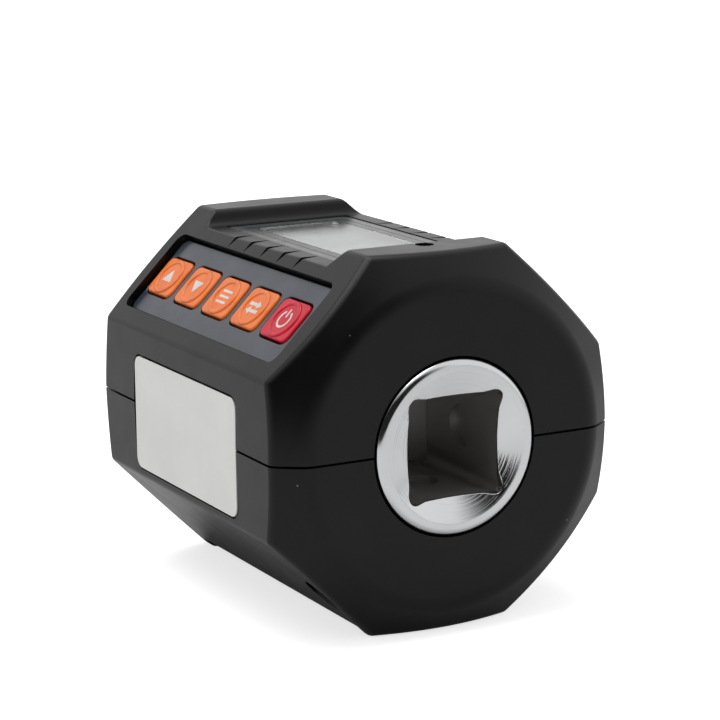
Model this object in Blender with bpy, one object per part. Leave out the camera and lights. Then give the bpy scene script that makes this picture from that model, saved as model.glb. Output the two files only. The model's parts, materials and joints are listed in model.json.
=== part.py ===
"""Digital torque adapter with a 1/2 inch square drive.

A steel shaft takes a wrench in its square socket at the front and turns a socket on its square
at the rear. An octagonal plastic case round its waist holds the gauge electronics: a display
under a recessed ledge, five keys on the upper left bevel and two AAA cells behind a door.

Metres, +Z up. The torque axis lies along Y with the socket end facing -Y, the origin is under the
middle of the part, and the case rests on its bottom flat. Every piece is modelled in the frame of
the empty "case_frame": X right, Y back from the plane of the front corners, Z up from the axis.
The keys and what carries them are modelled flat in the frame of "keypad_frame" instead: its
X runs up the bevel, its Y is the torque axis and its Z points out of the bevel.
"""

import math

import bmesh
import bpy
from mathutils import Matrix, Vector

MM = 0.001

# Clearances
GAP = 0.3 * MM  # between pieces that seat on each other
KEY_GAP = 0.35 * MM  # round a key in its window
BORE_GAP = 0.35 * MM  # round the shaft in the case

# Case, an octagon in section. Its height follows from the shaft and the cells under it
CASE_LENGTH = 49.0 * MM  # corner to corner along the axis, which lets the cells be 44.5 mm long
CASE_WIDTH = 48.48 * MM  # at the parting line
SIDE_DRAFT = 0.25 * MM  # each side face leans in by this above and below the parting line
TOP_FLAT = 19.7 * MM
SIDE_FLAT = 20.1 * MM
EDGE_RADIUS = 1.2 * MM
WALL = 2.2 * MM
PARTING_GAP = 0.3 * MM
LIP_THICKNESS = 0.8 * MM  # lip of the lower half, which stands inside the wall of the upper one
LIP_HEIGHT = 0.9 * MM

# Turned ends of the case: a flat round face inside a cone that trims the octagon's corners
FRONT_FACE_RADIUS = 20.5 * MM
FRONT_FACE_OUT = 4.07 * MM
BACK_FACE_RADIUS = 20.5 * MM
BACK_FACE_OUT = 2.3 * MM
FACE_BLEND = 4.0 * MM
END_REACH = 34.0 * MM  # the cones are drawn out to this radius, past the octagon's corners

# Recess across the top between the two bridges, which leaves the ledge of the display
LEDGE_DEPTH = 2.05 * MM
LEDGE_FRONT = 7.1 * MM
LEDGE_TO_REAR = 6.7 * MM  # from its back end to the plane of the case's rear corners
FRONT_BRIDGE_SLOPE = 1.6 * MM  # run of each wall of the recess from its foot to its top
BACK_BRIDGE_SLOPE = 0.9 * MM
LEDGE_FILLET = 1.6 * MM
FRONT_BROW_ROUND = 0.7 * MM  # top edges of the two bridges
BACK_BROW_ROUND = 1.2 * MM
BROW_SKIM = 0.01 * MM  # by which the cutter clears the bridges' tops
LEDGE_WALL = 2.1 * MM

# Gills, louvres that wrap the two long edges of the ledge
GILL_COUNT = 5
GILL_FROM_FRONT = 6.9 * MM  # from the front end of the ledge to the first gill
GILL_TO_BACK = 9.5 * MM
GILL_DEPTH = 0.55 * MM
GILL_FADE = 0.05 * MM  # what is left of that depth at the inner end
GILL_RAMP = 2.0 * MM
GILL_SWEEP = 0.4 * MM
GILL_REACH = 4.6 * MM
GILL_INSET = 9.35 * MM

# Display window, display and main board
WINDOW_WIDTH = 18.4 * MM
WINDOW_MARGIN = 1.1 * MM  # of ledge before and behind it
WINDOW_THICKNESS = 1.0 * MM
WINDOW_CORNER = 1.0 * MM
WINDOW_SINK = 0.1 * MM
WINDOW_LIP = 1.6 * MM
PANEL_SIDE_MARGIN = 1.0 * MM  # the display panel is smaller than the window by these
PANEL_END_MARGIN = 1.2 * MM
PANEL_THICKNESS = 1.8 * MM
STRIP_WIDTH = 1.6 * MM
STRIP_HEIGHT = 1.2 * MM
BOARD_WIDTH = 17.0 * MM
BOARD_THICKNESS = 1.2 * MM
BOARD_FRONT = -0.8 * MM
BOARD_TO_REAR = 3.5 * MM
POST_SPREAD = 13.6 * MM
POST_FROM_FRONT = 7.0 * MM  # from the board's front edge
POST_FROM_BACK = 2.3 * MM
POST_RADIUS = 1.2 * MM
PEG_RADIUS = 0.6 * MM
PEG_REACH = 0.8 * MM
CONTROLLER_SIDE = 7.0 * MM
CONTROLLER_Y = 23.5 * MM
AMPLIFIER_SIDE = 4.5 * MM
AMPLIFIER_Y = 34.0 * MM
CHIP_THICKNESS = 1.2 * MM

# Buzzer under the sound port in the front bridge
PORT_X = 0.3 * MM
PORT_Y = 4.0 * MM
PORT_RADIUS = 1.2 * MM
BUZZER_RADIUS = 4.1 * MM
BUZZER_HEIGHT = 3.3 * MM

# Keypad on the upper left bevel: distances down the bevel are from its top edge
PAD_TOP = 4.8 * MM
PAD_HEIGHT = 12.7 * MM
PAD_MARGIN = 2.0 * MM  # from the planes of the case's front and rear corners
PAD_CORNER = 1.5 * MM
OVERLAY_SINK = 1.2 * MM
OVERLAY_THICKNESS = 0.5 * MM
PAD_FLOOR = 1.1 * MM
KEY_COUNT = 5
KEY_BRIDGE = 1.4 * MM  # between two keys
KEY_ROW_FRONT = 2.6 * MM  # from the recess's front end to the first key
KEY_ROW_BACK = 0.8 * MM
KEY_HEIGHT = 5.9 * MM
KEY_CORNER = 1.3 * MM
KEY_PROUD = 0.45 * MM
KEY_ROUND = 0.3 * MM
KEY_DISC_RADIUS = 2.3 * MM
KEY_DISC_HEIGHT = 0.15 * MM
KEY_TRAVEL = 0.4 * MM
DOME_GAP = 0.05 * MM  # between a key pressed home and its dome
KEY_WING = 1.0 * MM
KEY_WING_THICKNESS = 0.6 * MM
DOME_RADIUS = 2.4 * MM
DOME_HEIGHT = 0.45 * MM
DOME_WALL = 0.12 * MM
KEY_BOARD_THICKNESS = 1.0 * MM
KEY_BOARD_MARGIN = 0.6 * MM
KEY_RAIL_WIDTH = 0.9 * MM

# Pale plate on the left face
LABEL_FRONT = 8.4 * MM
LABEL_TO_REAR = 9.8 * MM
LABEL_HEIGHT = 15.25 * MM
LABEL_Z = -1.225 * MM
LABEL_CORNER = 1.5 * MM
LABEL_THICKNESS = 0.15 * MM
LABEL_SINK = 0.09 * MM

# Shaft
SOCKET_SQUARE = 12.9 * MM
SOCKET_CORNER = 0.9 * MM
SOCKET_DEPTH = 19.0 * MM
SOCKET_LEAD_RADIUS = 9.65 * MM
SOCKET_LEAD_DEPTH = 1.2 * MM
SOCKET_DIMPLE_IN = 10.2 * MM  # from the socket's mouth
SOCKET_DIMPLE_RADIUS = 2.75 * MM
SOCKET_DIMPLE_DEPTH = 0.8 * MM
HEAD_RADIUS = 11.0 * MM
HEAD_PROUD = 0.55 * MM
HEAD_EDGE = 0.8 * MM
HEAD_FLOOR = 3.6 * MM  # of solid head behind the socket
HEAD_SWEEP = 3.0 * MM  # length of the curve from the head down to the waist
WAIST_RADIUS = 7.5 * MM
WAIST_FLAT = 6.8 * MM
TAIL_RADIUS = 10.0 * MM
TAIL_LENGTH = 14.0 * MM  # inside the plane of the case's rear corners
TAIL_SWEEP = 2.5 * MM
TAIL_PROUD = 2.1 * MM
DRIVE_SQUARE = 12.7 * MM
DRIVE_CORNER = 1.0 * MM
DRIVE_LENGTH = 15.5 * MM
DRIVE_CHAMFER = 0.9 * MM
KEY_SLOT_IN = 3.0 * MM  # from the front of the tail
KEY_SLOT_WIDTH = 3.0 * MM
KEY_SLOT_FLAT = 8.6 * MM
GAUGE_LENGTH = 6.0 * MM
GAUGE_HEIGHT = 4.6 * MM
GAUGE_THICKNESS = 0.25 * MM

# Detent ball and spring in the upper flat of the male square
BALL_RADIUS = 1.7 * MM
BALL_PROUD = 0.8 * MM
BALL_HOLE_RADIUS = 2.0 * MM
BALL_MOUTH_RADIUS = 1.65 * MM
BALL_MOUTH_DEPTH = 0.5 * MM
BALL_HOLE_DEPTH = 8.2 * MM
SPRING_WIRE = 0.25 * MM  # radius of the wire
SPRING_RADIUS = 1.2 * MM
SPRING_TURNS = 4

# Saddles that hold the shaft in the case
FRONT_SADDLE_Y = 9.5 * MM
SADDLE_THICKNESS = 2.4 * MM
SADDLE_HEIGHT = 7.0 * MM
ROOTED = 1.0 * MM  # how far a rib or boss grows into the wall that carries it
SHALLOW_ROOT = 0.5 * MM  # the same where that wall is thin

# Cells and their contacts. A cell is as long as the case lets it be
CELL_RADIUS = 5.25 * MM
CELL_NUB = 1.2 * MM
CELL_NUB_RADIUS = 1.9 * MM
CELL_EDGE = 0.5 * MM
CELL_APART = 0.5 * MM  # between the two cells
CELL_TO_SHAFT = 0.67 * MM
CELL_TO_DOOR = 0.85 * MM
LINK_Y = 0.4 * MM
BAY_TO_REAR = 0.9 * MM  # from the rear contacts to the plane of the case's rear corners
CONTACT_THICKNESS = 0.4 * MM
CONTACT_WIDTH = 7.2 * MM
CONTACT_HEIGHT = 7.4 * MM
CONTACT_GAP = 0.3 * MM
CELL_SPRING_LENGTH = 1.5 * MM
CELL_SPRING_FOOT = 3.2 * MM
CELL_SPRING_TIP = 1.6 * MM
CELL_SPRING_WIRE = 0.3 * MM
CELL_SPRING_TURNS = 2

# Battery door in the bottom, hinged on two tongues at its front edge
DOOR_FRONT = 1.5 * MM
DOOR_TO_REAR = 3.1 * MM
DOOR_MARGIN = 0.15 * MM  # by which the door is wider than the cells at each side
DOOR_SINK = 0.3 * MM
DOOR_THICKNESS = 1.8 * MM
DOOR_RIM = 0.5 * MM  # how far the door's long edges rise above its inside
DOOR_GAP = 0.3 * MM
TONGUE_WIDTH = 1.5 * MM
TONGUE_SPREAD = 3.3 * MM
TONGUE_REACH = 1.3 * MM
TONGUE_THICKNESS = 0.7 * MM
TONGUE_SETBACK = 0.1 * MM  # of its neck behind the door's front edge
NAIL_SLOT_LENGTH = 9.0 * MM
NAIL_SLOT_WIDTH = 1.8 * MM
NAIL_SLOT_DEPTH = 0.7 * MM
BAY_RIB = 1.2 * MM
BAY_RIB_OVER = 4.0 * MM  # rise of the ribs above the cells' axes

# Two screws up through the lower half, near the front
SCREW_TO_SIDE = 8.64 * MM  # from the case's side at the parting line
SCREW_Y = 2.0 * MM
SCREW_HEAD_RADIUS = 1.9 * MM
SCREW_HEAD_HEIGHT = 1.4 * MM
SCREW_SHANK_RADIUS = 1.1 * MM
SCREW_CROSS_LENGTH = 2.1 * MM
SCREW_CROSS_WIDTH = 0.48 * MM
SCREW_CROSS_DEPTH = 0.95 * MM
SCREW_HEAD_Z = -9.0 * MM
SCREW_TIP_Z = 5.0 * MM
SCREW_POCKET_RADIUS = 2.2 * MM
SCREW_BOSS_RADIUS = 3.3 * MM
SCREW_BOSS_TOP = 6.6 * MM
TAB_TO_SIDE = 9.24 * MM
TAB_WIDTH = 4.0 * MM
TAB_DEPTH = 3.0 * MM
TAB_THICKNESS = 1.4 * MM

# Facets
END_STEPS = 64
ROUND_STEPS = 32
SMALL_STEPS = 16
ARC_STEPS = 4
DOME_ROWS = 3
WELD = 0.001 * MM

# Worked out from the sizes above
CELL_SPREAD = 2 * CELL_RADIUS + CELL_APART
CELL_Z = -math.sqrt((HEAD_RADIUS + CELL_TO_SHAFT + CELL_RADIUS) ** 2 - (CELL_SPREAD / 2) ** 2)
DOOR_INNER = -CELL_Z + CELL_RADIUS + CELL_TO_DOOR
DOOR_OUTER = DOOR_INNER + DOOR_THICKNESS
HALF_HEIGHT = DOOR_OUTER + DOOR_SINK
CELL_FRONT = LINK_Y + CONTACT_THICKNESS + CONTACT_GAP
CELL_SPRING_ROOM = CELL_SPRING_LENGTH + CONTACT_GAP
CONTACT_Y = CASE_LENGTH - BAY_TO_REAR - CONTACT_THICKNESS
CELL_LENGTH = CONTACT_Y - CONTACT_GAP - CELL_SPRING_ROOM - CELL_FRONT
HALF_TOP = TOP_FLAT / 2
HALF_SIDE = SIDE_FLAT / 2
HALF_WIDTH = CASE_WIDTH / 2
CORNER_WIDTH = HALF_WIDTH - SIDE_DRAFT
HEAD_FRONT = -FRONT_FACE_OUT - HEAD_PROUD
SOCKET_FLOOR = HEAD_FRONT + SOCKET_DEPTH
SOCKET_DIMPLE_Y = HEAD_FRONT + SOCKET_DIMPLE_IN
HEAD_BACK = SOCKET_FLOOR + HEAD_FLOOR
WAIST_FRONT = HEAD_BACK + HEAD_SWEEP
TAIL_FRONT = CASE_LENGTH - TAIL_LENGTH
WAIST_BACK = TAIL_FRONT - TAIL_SWEEP
KEY_SLOT_FRONT = TAIL_FRONT + KEY_SLOT_IN
GAUGE_Y = (WAIST_FRONT + WAIST_BACK) / 2
TAIL_END = CASE_LENGTH + BACK_FACE_OUT + TAIL_PROUD
DRIVE_END = TAIL_END + DRIVE_LENGTH
FRONT_CORNERS_Y = -(HEAD_FRONT + DRIVE_END) / 2
BEVEL_TILT = math.atan2(HALF_HEIGHT - HALF_SIDE, CORNER_WIDTH - HALF_TOP)
LEDGE_BACK = CASE_LENGTH - LEDGE_TO_REAR
GILL_START = LEDGE_FRONT + GILL_FROM_FRONT
GILL_PITCH = (LEDGE_BACK - GILL_TO_BACK - GILL_START) / (GILL_COUNT - 1)
LEDGE_Z = HALF_HEIGHT - LEDGE_DEPTH
ROOF_Z = LEDGE_Z - LEDGE_WALL
WINDOW_START = LEDGE_FRONT + WINDOW_MARGIN
WINDOW_LENGTH = LEDGE_BACK - WINDOW_MARGIN - WINDOW_START
WINDOW_TOP = LEDGE_Z - WINDOW_SINK
WINDOW_FLOOR = WINDOW_TOP - WINDOW_THICKNESS - GAP
WINDOW_MIDDLE = WINDOW_START + WINDOW_LENGTH / 2
PANEL_WIDTH = WINDOW_WIDTH - 2 * PANEL_SIDE_MARGIN
PANEL_LENGTH = WINDOW_LENGTH - 2 * PANEL_END_MARGIN
PANEL_TOP = ROOF_Z - GAP
STRIP_TOP = PANEL_TOP - PANEL_THICKNESS - GAP
BOARD_TOP = STRIP_TOP - STRIP_HEIGHT - GAP
BOARD_BOTTOM = BOARD_TOP - BOARD_THICKNESS
BOARD_BACK = CASE_LENGTH - BOARD_TO_REAR
POST_FRONT = BOARD_FRONT + POST_FROM_FRONT
POST_BACK = BOARD_BACK - POST_FROM_BACK
BUZZER_Y = BOARD_FRONT + BUZZER_RADIUS + GAP
PAD_MIDDLE = PAD_TOP + PAD_HEIGHT / 2
PAD_LENGTH = CASE_LENGTH - 2 * PAD_MARGIN
KEY_PITCH = (PAD_LENGTH - KEY_ROW_FRONT - KEY_ROW_BACK + KEY_BRIDGE) / KEY_COUNT
KEY_LENGTH = KEY_PITCH - KEY_BRIDGE
KEY_FIRST_Y = PAD_MARGIN + KEY_ROW_FRONT + KEY_LENGTH / 2
OVERLAY_BOTTOM = OVERLAY_SINK + OVERLAY_THICKNESS
FLOOR_TOP = OVERLAY_BOTTOM + GAP
FLOOR_BOTTOM = FLOOR_TOP + PAD_FLOOR
WING_TOP = FLOOR_BOTTOM + GAP
WING_BOTTOM = WING_TOP + KEY_WING_THICKNESS
KEY_TOP = OVERLAY_SINK - KEY_PROUD
DOME_TOP = WING_BOTTOM + KEY_TRAVEL + DOME_GAP
KEY_BOARD_TOP = DOME_TOP + DOME_HEIGHT + GAP
KEY_BOARD_BOTTOM = KEY_BOARD_TOP + KEY_BOARD_THICKNESS
LABEL_BACK = CASE_LENGTH - LABEL_TO_REAR
DOOR_BACK = CASE_LENGTH - DOOR_TO_REAR
DOOR_WIDTH = CELL_SPREAD + 2 * (CELL_RADIUS + DOOR_MARGIN)
BAY_RIB_TOP = CELL_Z + BAY_RIB_OVER
SCREW_X = HALF_WIDTH - SCREW_TO_SIDE
TAB_X = HALF_WIDTH - TAB_TO_SIDE
BALL_Y = TAIL_END + DRIVE_LENGTH / 2
BALL_Z = DRIVE_SQUARE / 2 + BALL_PROUD - BALL_RADIUS


def material(name, colour, roughness, metallic=0.0, alpha=1.0):
    made = bpy.data.materials.new(name)
    made.use_nodes = True
    shader = made.node_tree.nodes["Principled BSDF"]
    shader.inputs["Base Color"].default_value = (*colour, 1.0)
    shader.inputs["Roughness"].default_value = roughness
    shader.inputs["Metallic"].default_value = metallic
    shader.inputs["Alpha"].default_value = alpha
    return made


def frame(name, parent, location, tilt=0.0):
    """An empty that pieces are modelled in, turned about Y by tilt."""
    made = bpy.data.objects.new(name, None)
    bpy.context.scene.collection.objects.link(made)
    made.parent = parent
    made.location = location
    made.rotation_euler = (0.0, tilt, 0.0)
    return made


def piece(name, shape, parent, finish, at=(0.0, 0.0, 0.0)):
    """A visible object from a bmesh, whose origin is moved to the point at of its frame."""
    bmesh.ops.recalc_face_normals(shape, faces=shape.faces)
    bmesh.ops.translate(shape, verts=shape.verts, vec=-Vector(at))
    mesh = bpy.data.meshes.new(name)
    shape.to_mesh(mesh)
    shape.free()
    if finish:
        mesh.materials.append(finish)
    made = bpy.data.objects.new(name, mesh)
    bpy.context.scene.collection.objects.link(made)
    made.parent = parent
    made.location = at
    return made


def helper(name, shape, parent):
    """A hidden object that only shapes others."""
    made = piece(name, shape, parent, None)
    made.hide_render = True
    made.display_type = "WIRE"
    return made


def shaped(target, other, operation):
    """Applies a Boolean with another object, and welds the slivers that it leaves."""
    step = target.modifiers.new(operation, "BOOLEAN")
    step.object = other
    step.operation = operation
    step.solver = "EXACT"
    bpy.context.view_layer.update()
    result = bmesh.new()
    result.from_object(target, bpy.context.evaluated_depsgraph_get())
    bmesh.ops.remove_doubles(result, verts=result.verts, dist=WELD)
    bmesh.ops.dissolve_degenerate(result, dist=WELD, edges=result.edges)
    target.modifiers.clear()
    result.to_mesh(target.data)
    result.free()


def reshaped(target, shape, parent, operation):
    """The same with a shape that only this one step uses."""
    other = helper("tool", shape, parent)
    shaped(target, other, operation)
    bpy.data.objects.remove(other, do_unlink=True)


def cut(target, shape, parent):
    reshaped(target, shape, parent, "DIFFERENCE")


def joined(target, shape, parent):
    reshaped(target, shape, parent, "UNION")


def smooth(target, angle=35.0):
    target.data.shade_smooth()
    target.data.set_sharp_from_angle(angle=math.radians(angle))


def lofted(sections):
    """A closed solid through rings of points, each ring a list of (x, y, z)."""
    shape = bmesh.new()
    rings = [[shape.verts.new(point) for point in section] for section in sections]
    for low, high in zip(rings, rings[1:]):
        for i, corner in enumerate(low):
            after = (i + 1) % len(low)
            shape.faces.new((corner, low[after], high[after], high[i]))
    shape.faces.new(rings[0][::-1])
    shape.faces.new(rings[-1])
    return shape


def along_x(outline, low, high):
    """An outline of (y, z) points extruded along X."""
    return lofted([[(x, y, z) for y, z in outline] for x in (low, high)])


def along_y(outline, low, high):
    """An outline of (x, z) points extruded along Y."""
    return lofted([[(x, y, z) for x, z in outline] for y in (low, high)])


def along_z(outline, low, high):
    """An outline of (x, y) points extruded along Z."""
    return lofted([[(x, y, z) for x, y in outline] for z in (low, high)])


def block(x, y, z):
    """A box from three (low, high) pairs."""
    return along_z([(x[0], y[0]), (x[1], y[0]), (x[1], y[1]), (x[0], y[1])], *z)


def together(shapes):
    """One bmesh with the bodies of several, which don't touch each other."""
    whole = bmesh.new()
    for shape in shapes:
        mesh = bpy.data.meshes.new("part of a whole")
        shape.to_mesh(mesh)
        shape.free()
        whole.from_mesh(mesh)
        bpy.data.meshes.remove(mesh)
    return whole


def turned(profile, steps, axis="Y", centre=(0.0, 0.0, 0.0)):
    """A solid of revolution from (radius, distance along the axis) points that start and end on it."""
    shape = bmesh.new()
    rings = []
    for radius, height in profile:
        count = 1 if radius == 0.0 else steps
        ring = []
        for i in range(count):
            turn = 2.0 * math.pi * i / steps
            across, up = radius * math.cos(turn), radius * math.sin(turn)
            point = {"X": (height, across, up), "Y": (across, height, up), "Z": (across, up, height)}
            ring.append(shape.verts.new(Vector(point[axis]) + Vector(centre)))
        rings.append(ring)
    for low, high in zip(rings, rings[1:]):
        for i in range(steps):
            after = (i + 1) % steps
            near = [low[i % len(low)], low[after % len(low)]]
            far = [high[after % len(high)], high[i % len(high)]]
            shape.faces.new(list(dict.fromkeys(near + far)))
    return shape


def cylinder(radius, low, high, steps=ROUND_STEPS, axis="Y", centre=(0.0, 0.0, 0.0)):
    return turned([(0.0, low), (radius, low), (radius, high), (0.0, high)], steps, axis, centre)


def coil(foot, tip, wire, turns, low, high, axis="Y", centre=(0.0, 0.0, 0.0), steps=12, sides=6):
    """A helical spring whose radius runs from foot to tip between the heights low and high."""
    count = turns * steps
    low, high = low + wire, high - wire
    sections = []
    for i in range(count + 1):
        part = i / count
        turn = 2.0 * math.pi * i / steps
        radius = foot + (tip - foot) * part
        height = low + (high - low) * part
        section = []
        for j in range(sides):
            round_wire = 2.0 * math.pi * j / sides
            out = radius + wire * math.cos(round_wire)
            up = height + wire * math.sin(round_wire)
            across, over = out * math.cos(turn), out * math.sin(turn)
            point = (across, up, over) if axis == "Y" else (across, over, up)
            section.append(Vector(point) + Vector(centre))
        sections.append(section)
    return lofted(sections)


def rounded(points, radii, steps=ARC_STEPS, keep=()):
    """The outline with each corner made an arc, apart from those numbered in keep.

    The radii are one number, or a list with one for each corner.
    """
    if not isinstance(radii, list):
        radii = [radii] * len(points)
    made = []
    for i, (point, radius) in enumerate(zip(points, radii)):
        here = Vector(point)
        before = Vector(points[i - 1]) - here
        after = Vector(points[(i + 1) % len(points)]) - here
        if i in keep:
            made.append(point)
            continue
        half = before.angle(after) / 2.0
        centre = here + (before.normalized() + after.normalized()).normalized() * radius / math.sin(half)
        start = here + before.normalized() * radius / math.tan(half) - centre
        end = here + after.normalized() * radius / math.tan(half) - centre
        sweep = start.angle_signed(end)
        for j in range(steps + 1):
            made.append(tuple(centre + Matrix.Rotation(-sweep * j / steps, 2) @ start))
    return made


def rounded_rectangle(centre, size, radius, steps=ARC_STEPS):
    x, y = centre
    w, h = size[0] / 2, size[1] / 2
    return rounded([(x - w, y - h), (x + w, y - h), (x + w, y + h), (x - w, y + h)], radius, steps)


def square_section(side, radius, y):
    return [(x, y, z) for x, z in rounded_rectangle((0.0, 0.0), (side, side), radius)]


def inset(points, distances):
    """A convex outline, listed anticlockwise, with each side moved in by its own distance."""
    lines = []
    for i, distance in enumerate(distances):
        start, end = Vector(points[i]), Vector(points[(i + 1) % len(points)])
        way = (end - start).normalized()
        lines.append((start + Vector((-way.y, way.x)) * distance, way))
    made = []
    for (start, way), (other, across) in zip([lines[-1], *lines], lines):
        run = (other - start).cross(across) / way.cross(across)
        made.append(tuple(start + way * run))
    return made


def half_octagon(sign, edge):
    """Corners of the upper (sign 1) or lower half of the case from the height edge, anticlockwise."""
    right = [(HALF_WIDTH, edge), (CORNER_WIDTH, HALF_SIDE), (HALF_TOP, HALF_HEIGHT)]
    left = [(-x, z) for x, z in reversed(right)]
    points = [(x, sign * z) for x, z in right + left]
    return points if sign > 0 else points[::-1]


def case_ends(wall):
    """Profile of the case's two turned ends, set in by wall."""
    corner = math.hypot(HALF_TOP, HALF_HEIGHT)
    profile = []
    for flat, radius, start, way in (
        (FRONT_FACE_OUT, FRONT_FACE_RADIUS, 0.0, 1.0),
        (BACK_FACE_OUT, BACK_FACE_RADIUS, CASE_LENGTH, -1.0),
    ):
        slope = flat / (corner - radius)
        slant = wall * math.hypot(1.0, slope)
        meets = corner - (flat - wall + slant) / slope
        reach = (END_REACH - corner) * slope + slant
        end = [(0.0, start - way * (flat - wall)), (meets, start - way * (flat - wall))]
        end.append((END_REACH, start + way * reach))
        profile += end if way > 0 else end[::-1]
    return rounded(profile, FACE_BLEND, ARC_STEPS, keep=(0, 2, 3, 5))


def gill_cutters():
    """Wedges that fade in from the display's side and step down at their back."""
    inner = GILL_INSET
    outer = inner + GILL_REACH
    depth = GILL_DEPTH * GILL_REACH / (HALF_TOP + LEDGE_DEPTH - GILL_INSET)
    shapes = []
    for side in (-1.0, 1.0):
        for i in range(GILL_COUNT):
            y = GILL_START + i * GILL_PITCH
            sections = []
            for x, sweep, down in ((inner, 0.0, GILL_FADE), (outer, GILL_SWEEP, depth)):
                top = LEDGE_Z + GILL_DEPTH
                ramp = GILL_RAMP * (down + GILL_DEPTH) / (2 * GILL_DEPTH)
                sections.append(
                    [
                        (side * x, y - sweep, top),
                        (side * x, y - sweep, LEDGE_Z - down),
                        (side * x, y - sweep - ramp, top),
                    ]
                )
            shapes.append(lofted(sections))
    return together(shapes)


def ledge_cutter():
    """Everything above the ledge between the bridges, flared so that it rounds their top edges."""
    over = LEDGE_Z + 2 * LEDGE_DEPTH
    skim = HALF_HEIGHT + BROW_SKIM
    outline = [
        (LEDGE_FRONT - 3 * FRONT_BRIDGE_SLOPE, over),
        (LEDGE_FRONT - 3 * FRONT_BRIDGE_SLOPE, skim),
        (LEDGE_FRONT - FRONT_BRIDGE_SLOPE, skim),
        (LEDGE_FRONT, LEDGE_Z),
        (LEDGE_BACK, LEDGE_Z),
        (LEDGE_BACK + BACK_BRIDGE_SLOPE, skim),
        (LEDGE_BACK + 3 * BACK_BRIDGE_SLOPE, skim),
        (LEDGE_BACK + 3 * BACK_BRIDGE_SLOPE, over),
    ]
    radii = [0.0, 0.0, FRONT_BROW_ROUND, 0.0, LEDGE_FILLET, BACK_BROW_ROUND, 0.0, 0.0]
    outline = rounded(outline, radii, keep=(0, 1, 3, 6, 7))
    return along_x(outline, -HALF_WIDTH, HALF_WIDTH)


def key_y(index):
    return KEY_FIRST_Y + index * KEY_PITCH


def key_outline(index, margin=0.0):
    size = (KEY_HEIGHT + 2 * margin, KEY_LENGTH + 2 * margin)
    return rounded_rectangle((-PAD_MIDDLE, key_y(index)), size, KEY_CORNER + margin, 3)


def pad_outline(margin):
    size = (PAD_HEIGHT - 2 * margin, PAD_LENGTH - 2 * margin)
    return rounded_rectangle((-PAD_MIDDLE, CASE_LENGTH / 2), size, PAD_CORNER - margin)


def label_outline(margin):
    middle = ((LABEL_FRONT + LABEL_BACK) / 2, LABEL_Z)
    size = (LABEL_BACK - LABEL_FRONT - 2 * margin, LABEL_HEIGHT - 2 * margin)
    return rounded_rectangle(middle, size, LABEL_CORNER - margin)


def shared_helpers(case, pad):
    """Hidden shapes that both halves of the case, or the case and a piece in it, are cut with."""
    label_floor = -HALF_WIDTH + LABEL_SINK + LABEL_THICKNESS + GAP
    bore = HEAD_RADIUS + BORE_GAP
    tail = TAIL_RADIUS + BORE_GAP
    reach = END_REACH
    through = (CASE_LENGTH - WALL, CASE_LENGTH + reach)
    return {
        "ends": helper("outer_ends", turned(case_ends(0.0), END_STEPS), case),
        "hollow": helper("hollow_ends", turned(case_ends(WALL), END_STEPS), case),
        "head": helper("head_bore", cylinder(bore, -reach, HEAD_BACK, END_STEPS), case),
        "tail": helper("tail_bore", cylinder(tail, *through, END_STEPS), case),
        "label": helper("label_pocket", along_x(label_outline(-GAP), -reach, label_floor), case),
        "pad": helper("pad_pocket", along_z(pad_outline(0.0), -FLOOR_TOP, reach), pad),
    }


def parting_solid(case, depth, low, high):
    """What lies deeper than depth under the case's skin between two heights near the parting line."""
    side = HALF_WIDTH - depth
    slab = block((-side, side), (-END_REACH, CASE_LENGTH + END_REACH), (low, high))
    solid = helper("parting_solid", slab, case)
    ends = helper("parting_ends", turned(case_ends(depth), END_STEPS), case)
    shaped(solid, ends, "INTERSECT")
    bpy.data.objects.remove(ends, do_unlink=True)
    return solid


def parting_ring(case, outer, inner, low, high):
    """A ring along the case's walls at the parting line, between two depths under the skin."""
    ring = parting_solid(case, outer, low, high)
    core = parting_solid(case, inner, low - ROOTED, high + ROOTED)
    shaped(ring, core, "DIFFERENCE")
    bpy.data.objects.remove(core, do_unlink=True)
    return ring


def saddle_cheeks(sign):
    """Ribs at both sides of the shaft: two round its head, and two in the slots of its tail."""
    wall = CORNER_WIDTH - WALL + ROOTED
    z = sorted((sign * PARTING_GAP / 2, sign * SADDLE_HEIGHT))
    slot = KEY_SLOT_FRONT + KEY_SLOT_WIDTH / 2
    shapes = []
    for y, inner in ((FRONT_SADDLE_Y, SADDLE_HEIGHT), (slot, KEY_SLOT_FLAT + GAP)):
        for side in (-1.0, 1.0):
            x = sorted((side * inner, side * wall))
            shapes.append(block(x, (y - SADDLE_THICKNESS / 2, y + SADDLE_THICKNESS / 2), z))
    return together(shapes)


def case_half(name, sign, case, shared, finish):
    """Half of the octagon with its turned ends, hollowed and bored for the shaft."""
    corners = half_octagon(sign, PARTING_GAP / 2)
    outline = rounded(corners, EDGE_RADIUS, keep=(0, 5))
    half = piece(name, along_y(outline, -END_REACH, CASE_LENGTH + END_REACH), case, finish)
    shaped(half, shared["ends"], "INTERSECT")
    return half


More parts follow.
